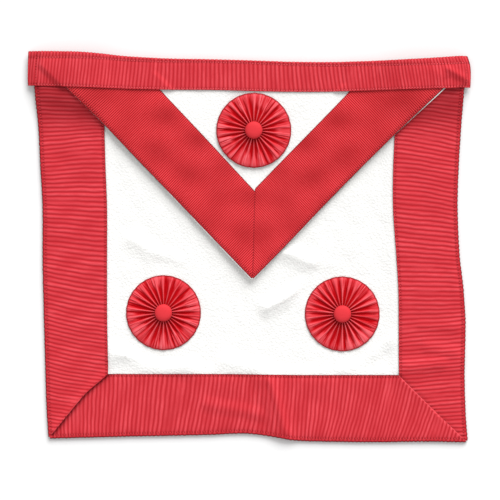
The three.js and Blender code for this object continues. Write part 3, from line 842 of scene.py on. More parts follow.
BORDER_STITCH = 3.4 * MM  # from a border's outer edge to its row of stitches
SEAM_STITCH = 1.9 * MM  # from a border's inner edge to its row of stitches
STITCH_GROOVE = 0.9 * MM
STITCH_SINK = 0.3 * MM
STITCH_LINE = 0.6 * MM  # half the width of the dark line under the stitches
EDGE_LINE = 0.7 * MM
RIB_START = 0.6 * MM  # over what width from a border's inner edge its ribs come up
WAVE_START = 8 * MM  # and its waves
FLAT_RIB = 0.6  # how light the ribs are outside the outer row of stitches, as a share
TURNED_DARK = (0.25, 0.8)  # angles of the turn between which it goes dark, as painted shade on the rolled edge
COLUMN = 3 * MM  # between a ribbon's grid lines


def stitch_sink(away):
    """How far ribbon is drawn down at a distance from a row of stitches."""
    return STITCH_SINK * np.exp(-((away / STITCH_GROOVE) ** 2))


HOLE_DARK = (0.55, 0.45)  # middle and swing of the darkness along a row


def stitch_holes(away, along):
    """How dark ribbon is at a distance from a row of stitches and a place along it: most at the holes."""
    dark = HOLE_DARK[0] - HOLE_DARK[1] * np.cos(TAU * along / STITCH_PITCH)
    return np.exp(-((away / STITCH_LINE) ** 2)) * dark


def border_section():
    """The border's section from the inner seam over the front, round the edge and back under the leather:
    inset of its flat part, angle of its turn from 0 to pi, and whether it lies behind."""
    row, seam = BORDER_STITCH, BORDER_WIDTH - SEAM_STITCH
    front = np.concatenate([
        [BORDER_WIDTH, BORDER_WIDTH - EDGE_LINE / 2, BORDER_WIDTH - EDGE_LINE],
        [seam + STITCH_LINE, seam, seam - STITCH_LINE],
        steps(seam - 2 * STITCH_GROOVE, row + 2 * STITCH_GROOVE, COLUMN),
        [row + STITCH_LINE, row, row - STITCH_LINE, ROLL_RADIUS],
    ])
    turn = np.linspace(0, math.pi, 8)[1:]
    inset = np.concatenate([front, np.full(len(turn) + 1, ROLL_RADIUS)])
    inset[-1] = RETURN_WIDTH
    angle = np.concatenate([np.zeros(len(front)), turn, [math.pi]])
    return inset, angle, angle > math.pi / 2


TUCK = 1.8 * MM  # how far one ribbon passes under the other at a corner
THIN = 0.5 * MM  # how much thinner both are where they lie on each other
OVERLAP_RUN = 8 * MM  # over what length the upper ribbon's lip comes down again
ROUND = 0.9 * MM  # width of the upper ribbon's rounded edge
ROUND_DROP = 0.4 * MM
CORNER_SHADE = 2.8 * MM  # half the width of the painted shadow beside a lip
CORNER_DARK = 0.7
BOW = 3 * MM  # how far the left corner's fold bows away from the straight line
FOLD_PAINTED_HIGHLIGHT = 1.8  # how much lighter the right corner's folded edge is painted than the top of a rib: a painted highlight
LEFT_LIP = 2.2 * MM
RIGHT_LIP = 0.3 * MM


def tuck(inset):
    return TUCK * smoothstep(ROLL_RADIUS, 3 * ROLL_RADIUS, inset)


def bow(inset):
    """How far the left corner's fold lies beyond the straight line: a sine squared, fullest near the inner
    corner."""
    share = np.clip(inset / BORDER_WIDTH, 0, 1) ** 1.5
    return BOW * np.sin(math.pi * share) ** 2


def corner(away, inset, lip, under):
    """What a corner does to a ribbon at a distance from where two ribbons meet: rise of its outer face and of
    its inner face, a painted shadow and a painted highlight. The upper ribbon has a lip with a rounded edge
    and lets the lower one in; the lower one is pressed down, with the lip's shadow painted on it beside the
    lip, and a thin lip's rounded edge gets a painted highlight."""
    in_reach = smoothstep(ROLL_RADIUS, 3 * ROLL_RADIUS, inset)
    if under:
        # the lower ribbon gets a painted shadow of the lip beside it
        shade = min(1, lip / LEFT_LIP) * np.exp(-((away / CORNER_SHADE) ** 2))
        pressed = -THIN * (1 - smoothstep(0, TUCK, away)) * in_reach
        return pressed, 0 * away, CORNER_DARK * shade * in_reach, 0 * away
    down = lip * (1 - smoothstep(0, OVERLAP_RUN, away)) * in_reach
    edge = 1 - smoothstep(0, ROUND, away)
    inner = down + THIN * (1 - smoothstep(TUCK, 2 * TUCK, away)) * in_reach
    return down - ROUND_DROP * edge * in_reach, inner, 0 * away, edge * in_reach * (lip < LEFT_LIP)


RIBBON_WAVE = (0.35 * MM, 50 * MM)  # height and length


def ribbon_wave(across, up):
    """Soft random waves of the borders' ribbon, and its listed narrow ones."""
    waves = RIBBON_WAVE[0] * np.abs(ripple(13, across, up, RIBBON_WAVE[1]))
    return waves + FOLD_HEIGHT * ridges(RIBBON_FOLDS, across, up)


def ribbon_border(node, ribs, to_pattern, low, high, rises, area):
    """A border strip: rib steps run along it, and its section is carried over them. The outer face is the
    turn's circle less the ribs' valleys; the inner face is a circle one ribbon smaller."""
    inset, angle, behind = border_section()
    along, rib = ribs.grid(inset[None, :], low(inset), high(inset, behind))
    depth = (1 - rib) * RIB_DEPTH * smoothstep(0, RIB_START, BORDER_WIDTH - inset)
    rows_at = (inset - BORDER_STITCH, BORDER_WIDTH - SEAM_STITCH - inset)
    front = angle == 0
    calm = smoothstep(0, WAVE_START, BORDER_WIDTH - inset) * smoothstep(ROLL_RADIUS, 5 * ROLL_RADIUS, inset)
    faces = []
    *heights, shade, light = rises(along, inset)
    for radius, rise in zip((ROLL_RADIUS - depth, ROLL_RADIUS - RIBBON + 0 * depth), heights):
        out = inset - radius * np.sin(angle)
        across, up = to_pattern(out, along)
        relief = rise + calm * ribbon_wave(across, up) - sum(stitch_sink(at) for at in rows_at)
        height = ROLL_RADIUS + radius * np.cos(angle) + fold_height(across, up) + front * relief
        faces.append(laid(across, up, height))
    # a dark selvedge along the inner edge, and at a corner the painted shadow beside the upper ribbon's lip
    dark = 1 - smoothstep(0, EDGE_LINE, BORDER_WIDTH - inset) + front * shade
    dark = dark + front * sum(stitch_holes(at, along) for at in rows_at)
    # painted shadow of the band and the flap on the side borders' tops
    dark = dark + BAND_SHADE * smoothstep(WAIST - SHADE_RUN[0], WAIST - SHADE_RUN[1], up)
    # painted shade over the rolled outer edge
    edge = np.clip(np.maximum(dark, smoothstep(*TURNED_DARK, angle)), 0, 1)
    flat_rib = rib * lerp(FLAT_RIB, 1, smoothstep(BORDER_STITCH - 2 * STITCH_LINE, BORDER_STITCH, inset))
    # the right corner's folded edge gets a painted highlight
    rib = np.maximum(flat_rib, FOLD_PAINTED_HIGHLIGHT * light * front)
    uv = stacked(inset + angle * ROLL_RADIUS, along)
    piece = sheet_object("ribbon_" + node, *faces, border_ribbon, {"rib": rib, "edge": edge}, uv)
    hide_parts(node)
    return piece


STRIP = BORDER_WIDTH + RETURN_WIDTH + (math.pi - 1) * ROLL_RADIUS  # flat width of a border's ribbon


def side_rises(side):
    """A side ribbon's corner: the left one lies over the hem's ribbon, the right one under it."""

    def rises(along, inset):
        if side < 0:
            return corner((along - inset - bow(inset)) / math.sqrt(2), inset, LEFT_LIP, False)
        return corner((along - inset) / math.sqrt(2), inset, RIGHT_LIP, True)

    return rises


def side_border(side):
    name = side_name(side)
    return ribbon_border(
        f"border_{name}",
        Ribs("side", name, 0, APRON_DEPTH, BORDER_WIDTH, 21 + side),
        lambda inset, along: (side * (HALF_WIDTH - inset), along),
        lambda inset: inset + SETBACK + bow(inset) if side < 0 else inset - tuck(inset),
        lambda inset, behind: np.where(behind, BACK_EDGE - GAP, SEAM_END),
        side_rises(side),
        STRIP * SEAM_END - BORDER_WIDTH**2 / 2,
    )


def hem_rises(along, inset):
    """The hem ribbon's two corners: under the left border's ribbon and over the right one's."""
    left = corner((along + HALF_WIDTH - inset + bow(inset)) / math.sqrt(2), inset, LEFT_LIP, True)
    right = corner((HALF_WIDTH - inset - along) / math.sqrt(2), inset, RIGHT_LIP, False)
    return [one + other for one, other in zip(left, right)]


def hem_border():
    return ribbon_border(
        "border_bottom",
        Ribs("hem", "hem", -HALF_WIDTH, HALF_WIDTH, BORDER_WIDTH, 25),
        lambda inset, along: (along, inset),
        lambda inset: inset - HALF_WIDTH - tuck(inset) - bow(inset),
        lambda inset, behind: HALF_WIDTH - inset - SETBACK,
        hem_rises,
        STRIP * APRON_WIDTH - BORDER_WIDTH**2,
    )


TRIM_STITCH = 2.4 * MM  # from the trim's outer edge to its row of stitches
TRIM_EDGE = 0.45 * MM  # thickness of the trim at its edges
TRIM_ROLL = 2 * MM  # over what width it comes up to its full thickness
TRIM_POWER = 1.2  # of the sine that is a rib's section
TRIM_PATCH = (0.85, 0.15)  # middle and swing of the ribs' height over wide patches
MEETING_SHADE = 0.55  # how dark the line is where the two ribbons meet; on the right ribbon it runs twice as wide, as a painted shadow of the left ribbon's fold over it
RIM_LINE = 1.6 * EDGE_LINE  # width of the dark line along both edges
TRIM_COLUMNS = np.concatenate([  # grid lines across a trim, as shares of a rib's length: more at both ends
    [0, 0.006, 0.012, 0.03, 0.04, 0.05, 0.065],
    np.linspace(0.1, 0.96, 11),
    [0.98, 0.99, 1],
])


def trim_frame(side):
    """The trim's own frame: its start at the flap's point, unit vectors up the edge and inwards, and the
    length of the edge."""
    low_end = np.array([flap_edge(side, TIP), TIP])
    high_end = np.array([flap_centre(WAIST) + side * FLAP_WIDTH / 2, WAIST])
    length = np.linalg.norm(high_end - low_end)
    run = (high_end - low_end) / length
    return low_end, run, side * np.array([-run[1], run[0]]), length


def flap_trim(side):
    """One ribbon along a flap edge: s runs up the edge from the point, in rib steps, and w inwards, square
    to it. Each rib runs from the outer edge to the inner one, to the line where the two ribbons meet, or to
    where the band hides it."""
    low_end, run, inward, length = trim_frame(side)
    reach = length * (SEAM_END - TIP) / FLAP_DROP
    s = np.arange(0, reach + TRIM_WIDTH, TRIM_RIB_PITCH / TRIM_RIB_SAMPLES)[:, None]
    meet = np.array([flap_centre(WAIST) + 2 * MITRE_LEAN - flap_centre(TIP), FLAP_DROP])
    square = side * np.array([meet[1], -meet[0]]) / np.linalg.norm(meet)
    start = (low_end - np.array([flap_centre(TIP), TIP])) @ square
    inner = LEATHER_PEEK + TRIM_WIDTH - (side > 0) * TRIM_TAPER * (1 - smoothstep(0, reach, s))
    meeting = (start + s * (run @ square)) / -(inward @ square)
    farthest = np.minimum(np.minimum(inner, meeting), (SEAM_END - low_end[1] - s * run[1]) / inward[1])
    outer_edge = peek(side, 1 - s / length)
    nearest = np.maximum(outer_edge, (side * low_end[0] + s * abs(run[0]) - FLAP_REACH) / run[1])
    there = (farthest > nearest)[:, 0]
    lengths = s, inner, meeting, farthest, nearest, outer_edge
    s, inner, meeting, farthest, nearest, outer_edge = (value[there] for value in lengths)
    w = lerp(nearest, farthest, TRIM_COLUMNS)
    patch = TRIM_PATCH[0] + TRIM_PATCH[1] * ripple(47, s, w, 30 * MM)
    rib = np.abs(np.sin(math.pi * s / TRIM_RIB_PITCH)) ** TRIM_POWER * patch
    across, up = (low_end[k] + s * run[k] + w * inward[k] for k in (0, 1))
    under = flap_underside(across, up) + LEATHER + GAP
    off_edge = np.minimum(w - outer_edge, inner - w)
    full = lerp(TRIM_EDGE, RIBBON, smoothstep(0, TRIM_ROLL, off_edge))
    row = w - outer_edge - TRIM_STITCH
    depth = (1 - rib) * TRIM_RIB_DEPTH * smoothstep(0, EDGE_LINE, off_edge) + stitch_sink(row) / 2
    outer = laid(across, up, under + full - depth)
    inner_face = laid(across, up, under + 0 * depth)
    # dark line where the two ribbons meet, widened on the right ribbon into a painted shadow of the left
    # one's fold
    seam = MEETING_SHADE * (1 - smoothstep(0, (2 if side > 0 else 1) * EDGE_LINE, meeting - w))
    rim = 1 - smoothstep(0, RIM_LINE, off_edge)
    dark = np.maximum(np.maximum(rim, seam), stitch_holes(row, s))
    uv = stacked(w, s)
    node = f"flap_trim_{side_name(side)}"
    values = {"rib": np.clip(rib, 0, 1) + 0 * w, "edge": np.clip(dark, 0, 1)}
    piece = sheet_object("ribbon_" + node, outer, inner_face, trim_ribbon, values, uv)
    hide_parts(node)
    whole = reach + TRIM_WIDTH
    TRIM_WIDTH * (whole - TRIM_WIDTH)
    return piece


# Waistband

BORDER_COVER = 12 * MM  # how far past a border's inner seam the band still stands over the border
FLAP_COVER = 9 * MM  # how far past the sides of the flap and its ribbons it still stands over them
IMPRINT = 1 * MM  # the same at the band's left end, where the flap's corner shows through it
CLOSING = (HALF_WIDTH - ROLL_RADIUS / 2, HALF_WIDTH + 0.7 * BAND_OVERHANG)  # where its halves come together
BAND_HEM_STITCH = 1.5 * MM  # from its lower edge to the lower row


def coverage(at, low, high, margin):
    """1 between two places and for a margin outside them, then falling to 0 over the band's ease."""
    before = smoothstep(0, 1, (at - low + margin + BAND_EASE) / BAND_EASE)
    after = smoothstep(0, 1, (high + margin + BAND_EASE - at) / BAND_EASE)
    return np.minimum(before, after)


def band_underside(across, up):
    """Height of the underside of the band's front half over all that it covers."""
    reach = np.minimum(up, SEAM_END)
    flat = LAYER + LEATHER + GAP
    border = coverage(np.abs(across), HALF_INNER, HALF_WIDTH, BORDER_COVER)
    margin = np.where(across < -HALF_INNER, IMPRINT, FLAP_COVER)
    flap = coverage(across, flap_edge(-1, reach), flap_edge(1, reach), margin)
    trims = 0
    for side in (-1, 1):
        outer = flap_edge(side, reach)
        inward = across_edge(side, LEATHER_PEEK + TRIM_WIDTH)
        inner = flap_edge(side, np.maximum(WAIST, reach)) - side * inward
        cover = coverage(across, np.minimum(inner, outer), np.maximum(inner, outer), margin)
        trims = np.maximum(trims, cover)
    on_flap = flap_underside(0, WAIST) + LEATHER + GAP
    layers = lerp(flat + LAYER * border, on_flap, flap) + LAYER * trims
    closed = np.clip((np.abs(across) - CLOSING[0]) / (CLOSING[1] - CLOSING[0]), 0, 1)
    return lerp(layers, RIBBON + GAP, closed)


ROLL_RISE = 0.5 * MM  # how much fuller the band is above its upper row of stitches
FOLD_RADIUS = 1.6 * MM  # of both corners of its pressed fold
BAND_SLACK = 1.1 * MM  # how far the band stands off its layers near its ends
SLACK_REACH = 62 * MM  # how far from its end the slack goes
SLACK_START = 15 * MM  # over what length from its end the slack grows
SLACK_TOP = 0.85  # share of its width where the slack ends below the fold
SLACK_POWER = 0.8  # of the sine that is the slack's section
DENT_LIMIT = 0.8 * GAP  # how far a dent goes into the gap under the band at most
HEM_HOLD = 2 * MM  # over what width from the lower edge its slack and dents grow
END_STITCH = (7.5 * MM, 4.2 * MM)  # from the band's left and right ends to the rows of stitches across them


def band_slack(across, up):
    """The band's bulge near its ends less its dents, as a height over the layers."""
    from_end = BAND_END - np.abs(across)
    share = np.clip((up - WAIST) / BAND_WIDTH, 0, 1)
    bulge = smoothstep(0, SLACK_START, from_end) * (1 - smoothstep(SLACK_REACH / 3, SLACK_REACH, from_end))
    bulge = bulge * np.sin(math.pi * np.minimum(share / SLACK_TOP, 1)) ** SLACK_POWER
    dents = 0
    length = 2 * BAND_END
    for dent in BAND_DENTS:
        start = dent["from_along"] * length - length / 2, WAIST + dent["from_up"] * BAND_WIDTH
        end = dent["to_along"] * length - length / 2, WAIST + dent["to_up"] * BAND_WIDTH
        away = line_distance(across, up, start, end) / (dent["spread"] * MM)
        dents = dents + dent["depth"] * MM * np.exp(-(away**2))
    return np.maximum(BAND_SLACK * bulge - dents, -DENT_LIMIT) * smoothstep(0, HEM_HOLD, up - WAIST)


BAND_ROW = rows("share down", (0, 6.5), (0.12, 5.2), (0.3, 3.6), (0.55, 3.4), (0.8, 5), (0.93, 7), (1, 7.4))


def band_row(across):
    """Where the band's upper row of stitches runs, below the top fold."""
    share = across / (2 * BAND_END) + 0.5
    return APRON_DEPTH - sampled(BAND_ROW, "share", "down", share) * MM


def roll_rise(across, up):
    """Rise of the band between its upper row of stitches and the fold: half a sine wave."""
    row = band_row(across)
    return ROLL_RISE * np.sin(math.pi * np.clip((up - row) / (APRON_DEPTH - row), 0, 1))


def band_relief(across, up):
    """The band's slack and roll less the grooves of its rows of stitches: below the fold, along its lower
    edge and across both ends. Each row is given as the distance from it and the place along it."""
    from_end = BAND_END - np.abs(across)
    end_row = from_end - np.where(across < 0, *END_STITCH)
    rows_at = (2 * (up - band_row(across)) / 3, across), (up - WAIST - BAND_HEM_STITCH, across), (end_row, up)
    raised = band_slack(across, up) + roll_rise(across, up)
    return raised - sum(stitch_sink(away) for away, _ in rows_at), rows_at


BAND_ROWS = 1.5 * MM  # between the grid lines up its front
HOLE_SHADE = 0.7  # how dark the band is at its stitch holes
END_SHADE = 0.7  # at its ends
FOLD_SHADE = 0.55  # and on its fold, as painted shade
FOLD_TURN = (0.3, 1.2)  # angles of the fold between which it goes dark


def waistband():
    """The band: rib steps run along it; its section goes up the front, over a pressed fold with two rounded
    corners, and down the back."""
    ribs = Ribs("band", "band", -BAND_END, BAND_END, BAND_WIDTH, 31, BAND_WANDER)
    fold_up = APRON_DEPTH - FOLD_RADIUS
    front = np.concatenate([
        [WAIST, WAIST + EDGE_LINE, WAIST + BAND_HEM_STITCH, WAIST + BAND_HEM_STITCH + STITCH_LINE],
        steps(WAIST + 2 * BAND_HEM_STITCH, fold_up, BAND_ROWS),
    ])
    quarter = np.linspace(0, math.pi / 2, 5)
    up = np.concatenate([front, np.full(2 * len(quarter) - 1, fold_up), [BACK_EDGE]])
    angle = np.concatenate([np.zeros(len(front)), quarter[1:], quarter + math.pi / 2, [math.pi]])
    number = np.arange(len(up))
    turned = (number >= len(front)) & (number < len(up) - 1)
    upper = number < len(front) + len(quarter) - 1
    across, rib = ribs.grid(up[None, :] - WAIST, -BAND_END, BAND_END)
    groove = (1 - rib) * RIB_DEPTH * smoothstep(0, EDGE_LINE, up - WAIST)
    relief, rows_at = band_relief(across, np.broadcast_to(up, across.shape))
    top = band_underside(across, np.broadcast_to(up, across.shape)) + RIBBON + relief
    centre = np.where(upper, top - FOLD_RADIUS, FOLD_RADIUS)
    faces = []
    for wall, cut in ((0, groove), (RIBBON, 0)):
        radius = FOLD_RADIUS - wall - cut
        place_up = up + turned * radius * np.sin(angle)
        height = centre + radius * np.cos(angle)
        faces.append(laid(across, place_up, height + side_lift(across, up)))
    on_front = number < len(front)
    holes = sum(stitch_holes(away, along) for away, along in rows_at)
    # painted shade along the pressed fold
    fold_line = FOLD_SHADE * smoothstep(*FOLD_TURN, angle)
    end_line = END_SHADE * (1 - smoothstep(0, EDGE_LINE, BAND_END - np.abs(across)))
    hem_line = 1 - smoothstep(0, EDGE_LINE / 2, up - WAIST)
    dark = hem_line + HOLE_SHADE * on_front * holes + fold_line + end_line
    values = {"rib": rib, "edge": np.clip(dark, 0, 1)}
    uv = stacked(up + angle * ROLL_RADIUS, across)
    piece = sheet_object("ribbon_waistband", *faces, border_ribbon, values, uv)
    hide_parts("waistband")
    return piece


# Stitches

STITCH_LENGTH = 1.7 * MM
STITCH_PITCH = 2.5 * MM
STITCH_WIDTH = 0.75 * MM
STITCH_DEPTH = 0.4 * RIB_DEPTH  # how far below the ribs' crests the stitches lie
LIGHT_THREAD = 0.9  # tones of the thread, from its valley colour (0) to its crest colour (1)
DARK_THREAD = 0.35


def stitch_places(low, high):
    """Places of the stitches along a strip: whole multiples of their pitch."""
    return np.arange(math.ceil(low / STITCH_PITCH), math.floor(high / STITCH_PITCH) + 1) * STITCH_PITCH


def stitch_row(name, centre, tone):
    """A row of stitches at the given points: ellipsoids of eight faces round a line, each turned to the
    row's own direction."""
    run = np.gradient(centre, axis=0)
    run /= np.linalg.norm(run, axis=1, keepdims=True)
    aside = np.cross((0, 0, 1), run)
    aside /= np.linalg.norm(aside, axis=1, keepdims=True)
    lift = np.cross(run, aside)
    turn = np.linspace(0, TAU, 7)
    tilt = np.linspace(-math.pi / 2, math.pi / 2, 6)
    ring, polar = np.meshgrid(turn, tilt, indexing="ij")
    x, y, z = np.sin(polar), np.cos(polar) * np.cos(ring), np.cos(polar) * np.sin(ring)
    shape = (centre[:, None, None] + STITCH_LENGTH / 2 * x[..., None] * run[:, None, None]
             + STITCH_WIDTH / 2 * y[..., None] * aside[:, None, None]
             + STITCH_WIDTH / 2 * z[..., None] * lift[:, None, None])
    count = len(centre)
    one = triangles(grid_quads(*ring.shape, 0, True))
    faces = (one[None] + (np.arange(count) * ring.size)[:, None, None]).reshape(-1, 3)
    points = shape.reshape(-1, 3)
    one_uv = stacked(ring * STITCH_WIDTH / 2, polar * STITCH_LENGTH / 2).reshape(-1, 2)
    extras = [np.full(len(points), tone), np.tile(one_uv, (count, 1))]
    points, faces, extras = welded(points, faces, extras)
    values = {"rib": extras[0], "edge": 0 * extras[0]}
    piece = new_object(name, points, faces, sewing_thread, values, extras[1])


def border_stitches(name, to_pattern, inset, low, high, rises):
    """A row along a border strip at an inset, on the surface of its ribs."""
    along = stitch_places(low, high)
    across, up = to_pattern(inset, along)
    surface = 2 * ROLL_RADIUS + fold_height(across, up) + rises(along, inset)[0]
    height = surface - STITCH_SINK - STITCH_DEPTH
    stitch_row(name, laid(across, up, height), DARK_THREAD)


def all_stitches():
    """Two rows on each border, one by the outer edge of each of the flap's ribbons, and four on the band."""
    seam = BORDER_WIDTH - SEAM_STITCH
    for title, inset in (("edge", BORDER_STITCH), ("seam", seam)):
        for side in (-1, 1):
            border_stitches(
                f"stitches_{title}_{side_name(side)}",
                lambda inset, along: (side * (HALF_WIDTH - inset) + 0 * along, along),
                inset,
                inset + bow(inset) + STITCH_PITCH,
                WAIST - STITCH_PITCH,
                side_rises(side),
            )
        border_stitches(
            f"stitches_{title}_bottom",
            lambda inset, along: (along, inset + 0 * along),
            inset,
            inset - HALF_WIDTH + STITCH_PITCH,
            HALF_WIDTH - inset - STITCH_PITCH,
            hem_rises,
        )
    for side in (-1, 1):
        low_end, run, inward, length = trim_frame(side)
        s = stitch_places(2 * TRIM_STITCH, length - TRIM_STITCH)
        w = peek(side, 1 - s / length) + TRIM_STITCH
        across, up = (low_end[k] + s * run[k] + w * inward[k] for k in (0, 1))
        height = flap_underside(across, up) + LEATHER + GAP + RIBBON - STITCH_SINK / 2 - TRIM_RIB_DEPTH / 2
        stitch_row(f"stitches_trim_{side_name(side)}", laid(across, up, height), DARK_THREAD)
    left, right = END_STITCH[0] - BAND_END, BAND_END - END_STITCH[1]
    across = stitch_places(left, right)
    paths = {
        "top": (across, band_row(across), LIGHT_THREAD),
        "hem": (across, WAIST + BAND_HEM_STITCH + 0 * across, LIGHT_THREAD),
    }
    for name, place_across in (("left", left), ("right", right)):
        up = stitch_places(WAIST + BAND_HEM_STITCH, APRON_DEPTH - 2 * ROLL_RADIUS)
        paths[f"end_{name}"] = (place_across + 0 * up, up, DARK_THREAD)
    for title, (across, up, tone) in paths.items():
        relief, _ = band_relief(across, up)
        height = band_underside(across, up) + RIBBON + relief - STITCH_DEPTH + side_lift(across, up)
        stitch_row(f"stitches_band_{title}", laid(across, up, height), tone)


# Rosettes and buttons

PLEAT_DEPTH = rows("out depth", (0.1, 2.2), (0.24, 2.9), (0.4, 2.8), (0.7, 2.2), (0.92, 1.4), (1, 0.8))
PLEAT_REACH = rows("out half", (0.1, 0.4), (0.3, 0.37), (0.5, 0.36), (0.7, 0.42), (1, 0.55))
PLEAT_SAMPLES = 22
CREASES = 9
CREASE_DEPTH = 0.5 * MM
CREASE_WIDTH = 0.045  # of a pleat
CREASE_END = 0.12  # of a pleat, over which its creases fade out at both sides
VALLEY = 0.33  # height of the valleys, as a share of the solid's
RIM_DROP = 0.6  # how much lower they are at the rim, as a share
RIM_SHADE = 0.9  # how dark the rim's edge is
CREASE_TONE = 0.6  # how much darker a crease is painted than what is round it: painted shade
THINNEST = 0.4 * MM
RIM_NOTCH = 0.012  # how far the rim draws in between two ridges, as a share of the radius
CIRCLES = np.concatenate([[0.12, 0.2], np.linspace(0.24, 0.955, 29), [0.975, 0.99, 1.0]])  # of its grid


ROSETTES = {  # the seed of each one's random draws, and what it lies on
    "flap": (50, "leather_flap"),
    "left": (60, "leather_body"),
    "right": (70, "leather_body"),
}


def pleated_rosette(name, node, seed):
    """A round of pleated ribbon in polar steps. A pleat's section is a cosine-squared ridge over a flat
    valley: narrow by the button, and wider and creased by the rim. Each pleat has its own place, height,
    creases and end of its valley, all random."""
    random = np.random.default_rng(seed)
    centre, radius, base, solid = round_node(node)
    turns = np.arange(PLEAT_COUNT * PLEAT_SAMPLES + 1)[:, None] / PLEAT_SAMPLES
    out = CIRCLES[None, :]
    which = np.floor(turns).astype(int) % PLEAT_COUNT
    share = turns % 1

    def own(lowest, highest):
        """A random value for each pleat, at every step round the rosette."""
        return random.uniform(lowest, highest, PLEAT_COUNT)[which]

    ridge = 0.5 + own(-0.1, 0.1) * smoothstep(0.2, 0.9, out)
    half = sampled(PLEAT_REACH, "out", "half", out) * own(0.85, 1.15)
    tall, fade, kept = own(0.7, 1.05), own(0.45, 0.85), own(0.2, 0.75)
    away = np.minimum(np.abs(share - ridge) / half, 1)
    section = np.cos(away * math.pi / 2) ** lerp(2.4, 1.2, smoothstep(0.4, 0.9, out))
    section = lerp(1, section, lerp(1, kept, smoothstep(fade, fade + 0.2, out)))
    creases = 0
    for _ in range(CREASES):
        line, start, strength = own(0.06, 0.94), own(0.35, 0.75), own(-0.5, 1.1)
        drift = own(-0.4, 0.4) * (out - 0.6)
        groove = np.exp(-(((share - line - drift) / CREASE_WIDTH) ** 2))
        creases = creases + strength * groove * smoothstep(start, start + 0.15, out)
    inside = smoothstep(0, CREASE_END, share) * smoothstep(0, CREASE_END, 1 - share)
    creases = np.clip(creases * (1 - smoothstep(0.95, 0.99, out)) * inside, -0.5, 1.3)
    depth = sampled(PLEAT_DEPTH, "out", "depth", out) * MM
    wall = solid * VALLEY * (1 - RIM_DROP * smoothstep(0.9, 1.0, out))
    height = np.maximum(wall + depth * section * tall - CREASE_DEPTH * creases, THINNEST)
    angle = TAU * turns / PLEAT_COUNT
    reach = radius * out * (1 - RIM_NOTCH * (1 - section) * smoothstep(0.8, 1, out))
    x, y = centre.x + reach * np.cos(angle), centre.y + reach * np.sin(angle)
    top, bottom = stacked(x, y, base + height), stacked(x, y, base + 0 * height)
    # tone from the pleats' shape: valleys and creases painted darker, as shade, and ridges lighter, as
    # painted highlight
    rib = np.clip(section * tall - CREASE_TONE * creases, 0, 1)
    edge = np.broadcast_to(RIM_SHADE * smoothstep(0.955, 0.985, out), rib.shape)
    uv = stacked(radius * out, angle * radius)
    piece = sheet_object(name, top, bottom, rosette_ribbon, {"rib": rib, "edge": edge}, uv)
    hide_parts(node)
    return piece


BUTTON_PROFILE = rows(
    "radius height",
    (0, 0),
    (0.8, 0),
    (0.93, 0.06),
    (1, 0.24),
    (0.985, 0.42),
    (0.93, 0.6),
    (0.8, 0.78),
    (0.6, 0.9),
    (0.35, 0.97),
    (0, 1),
)


BUTTON_RINGS = 41
BUTTON_STEPS = 64


def covered_button(name, node):
    """A domed button turned from a profile: rings of the profile's smooth curve carried round the axis."""
    centre, radius, base, tall = round_node(node)
    knots = np.arange(len(BUTTON_PROFILE))
    fine = np.linspace(0, knots[-1], BUTTON_RINGS)
    table = rows("knot radius height", *zip(knots, BUTTON_PROFILE["radius"], BUTTON_PROFILE["height"]))
    out, up = (sampled(table, "knot", column, fine)[None, :] for column in ("radius", "height"))
    angle = np.linspace(0, TAU, BUTTON_STEPS + 1)[:, None]
    out = np.clip(out, 0, 1) * np.where(np.isin(fine, [0, knots[-1]]), 0, 1)
    x, y = centre.x + radius * out * np.cos(angle), centre.y + radius * out * np.sin(angle)
    points = stacked(x, y, base + tall * np.clip(up, 0, 1))
    points[-1] = points[0]
    height, width = points.shape[:2]
    # the cloth's tone follows the height: painted shade towards the dome's foot and painted highlight on its
    # top
    rib = np.clip(points[..., 2] - base, 0, None) / tall
    extras = [rib.reshape(-1), np.zeros(height * width), points[..., :2].reshape(-1, 2)]
    faces = triangles(grid_quads(height, width, 0, False))
    points, faces, (rib, edge, uv) = welded(points.reshape(-1, 3), faces, extras)
    piece = new_object(name, points, faces, button_cloth, {"rib": rib, "edge": edge}, uv)
    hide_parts(node)
    return piece


# Stage, light and camera

PIXEL = 0.92 * MM  # what one pixel of the photograph spans on the apron
PHOTO_SIDE = 500
PHOTO_AXIS = 249.3  # pixel column of the frame's centre line
PHOTO_TOP = 51  # pixel row of the band's highest point
LENS = 200
SENSOR = 36
FLOOR_SIDE = 40
PAPER_SIZE = 300 * MM  # of the floor's slight changes of tone
WORLD_STRENGTH = 0.67


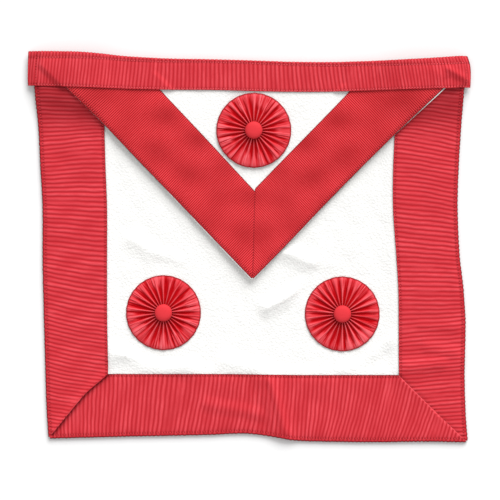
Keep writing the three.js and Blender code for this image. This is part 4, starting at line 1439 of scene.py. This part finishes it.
def camera():
    """Straight above the apron, with the photograph's middle in the middle and its scale at the ribbon."""
    low, high = CAD_BOX
    x = (PHOTO_SIDE / 2 - PHOTO_AXIS) * PIXEL
    y = high.y - (PHOTO_SIDE / 2 - PHOTO_TOP) * PIXEL
    data = bpy.data.cameras.new("camera")
    data.lens, data.sensor_width = LENS, SENSOR
    made = linked("camera", data)
    made.location = (x, y, 2 * ROLL_RADIUS + PHOTO_SIDE * PIXEL * LENS / SENSOR)
    data.clip_end = 2 * FLOOR_SIDE
    bpy.context.scene.camera = made


def sun(name, strength, heading, elevation, softness):
    """A soft distant light that comes from a heading, counted from +X towards +Y, at an elevation."""
    data = bpy.data.lights.new(name, "SUN")
    data.energy, data.angle = strength, math.radians(softness)
    a, e = math.radians(heading), math.radians(elevation)
    toward = Vector((math.cos(a) * math.cos(e), math.sin(a) * math.cos(e), math.sin(e)))
    made = linked(name, data)
    made.rotation_mode = "QUATERNION"
    made.rotation_quaternion = toward.to_track_quat("Z", "Y")


def floor():
    half = FLOOR_SIDE / 2
    corners = [(-half, -half, 0), (half, -half, 0), (half, half, 0), (-half, half, 0)]
    mesh = bpy.data.meshes.new("floor")
    mesh.from_pydata(corners, [], [(0, 1, 2, 3)])
    made = linked("floor", mesh)

    def pattern(start):
        paper = noise(start, PAPER_SIZE)
        return {"Base Color": paper.mixed(color(0.86, 0.86, 0.86), color(0.88, 0.88, 0.88))}, paper * 0

    mesh.materials.append(finish("pale_floor", {"Roughness": 0.9, "Specular IOR Level": 0.1}, pattern))


def room():
    world = bpy.data.worlds.new("room")
    world.use_nodes = True
    background = world.node_tree.nodes["Background"]
    background.inputs["Color"].default_value = color(1, 1, 1)
    background.inputs["Strength"].default_value = WORLD_STRENGTH
    bpy.context.scene.world = world
    bpy.context.scene.view_settings.view_transform = "Standard"


camera()
sun("key_light", 3.4, 72, 32, 45)
floor()
room()

leather_body()
leather_flap()
side_border(-1)
side_border(1)
hem_border()
flap_trim(-1)
flap_trim(1)
waistband()
all_stitches()
for where, (seed, under) in ROSETTES.items():
    pleated_rosette(f"pleated_rosette_{where}", f"rosette_{where}", seed)
    covered_button(f"covered_button_{where}", f"button_{where}")
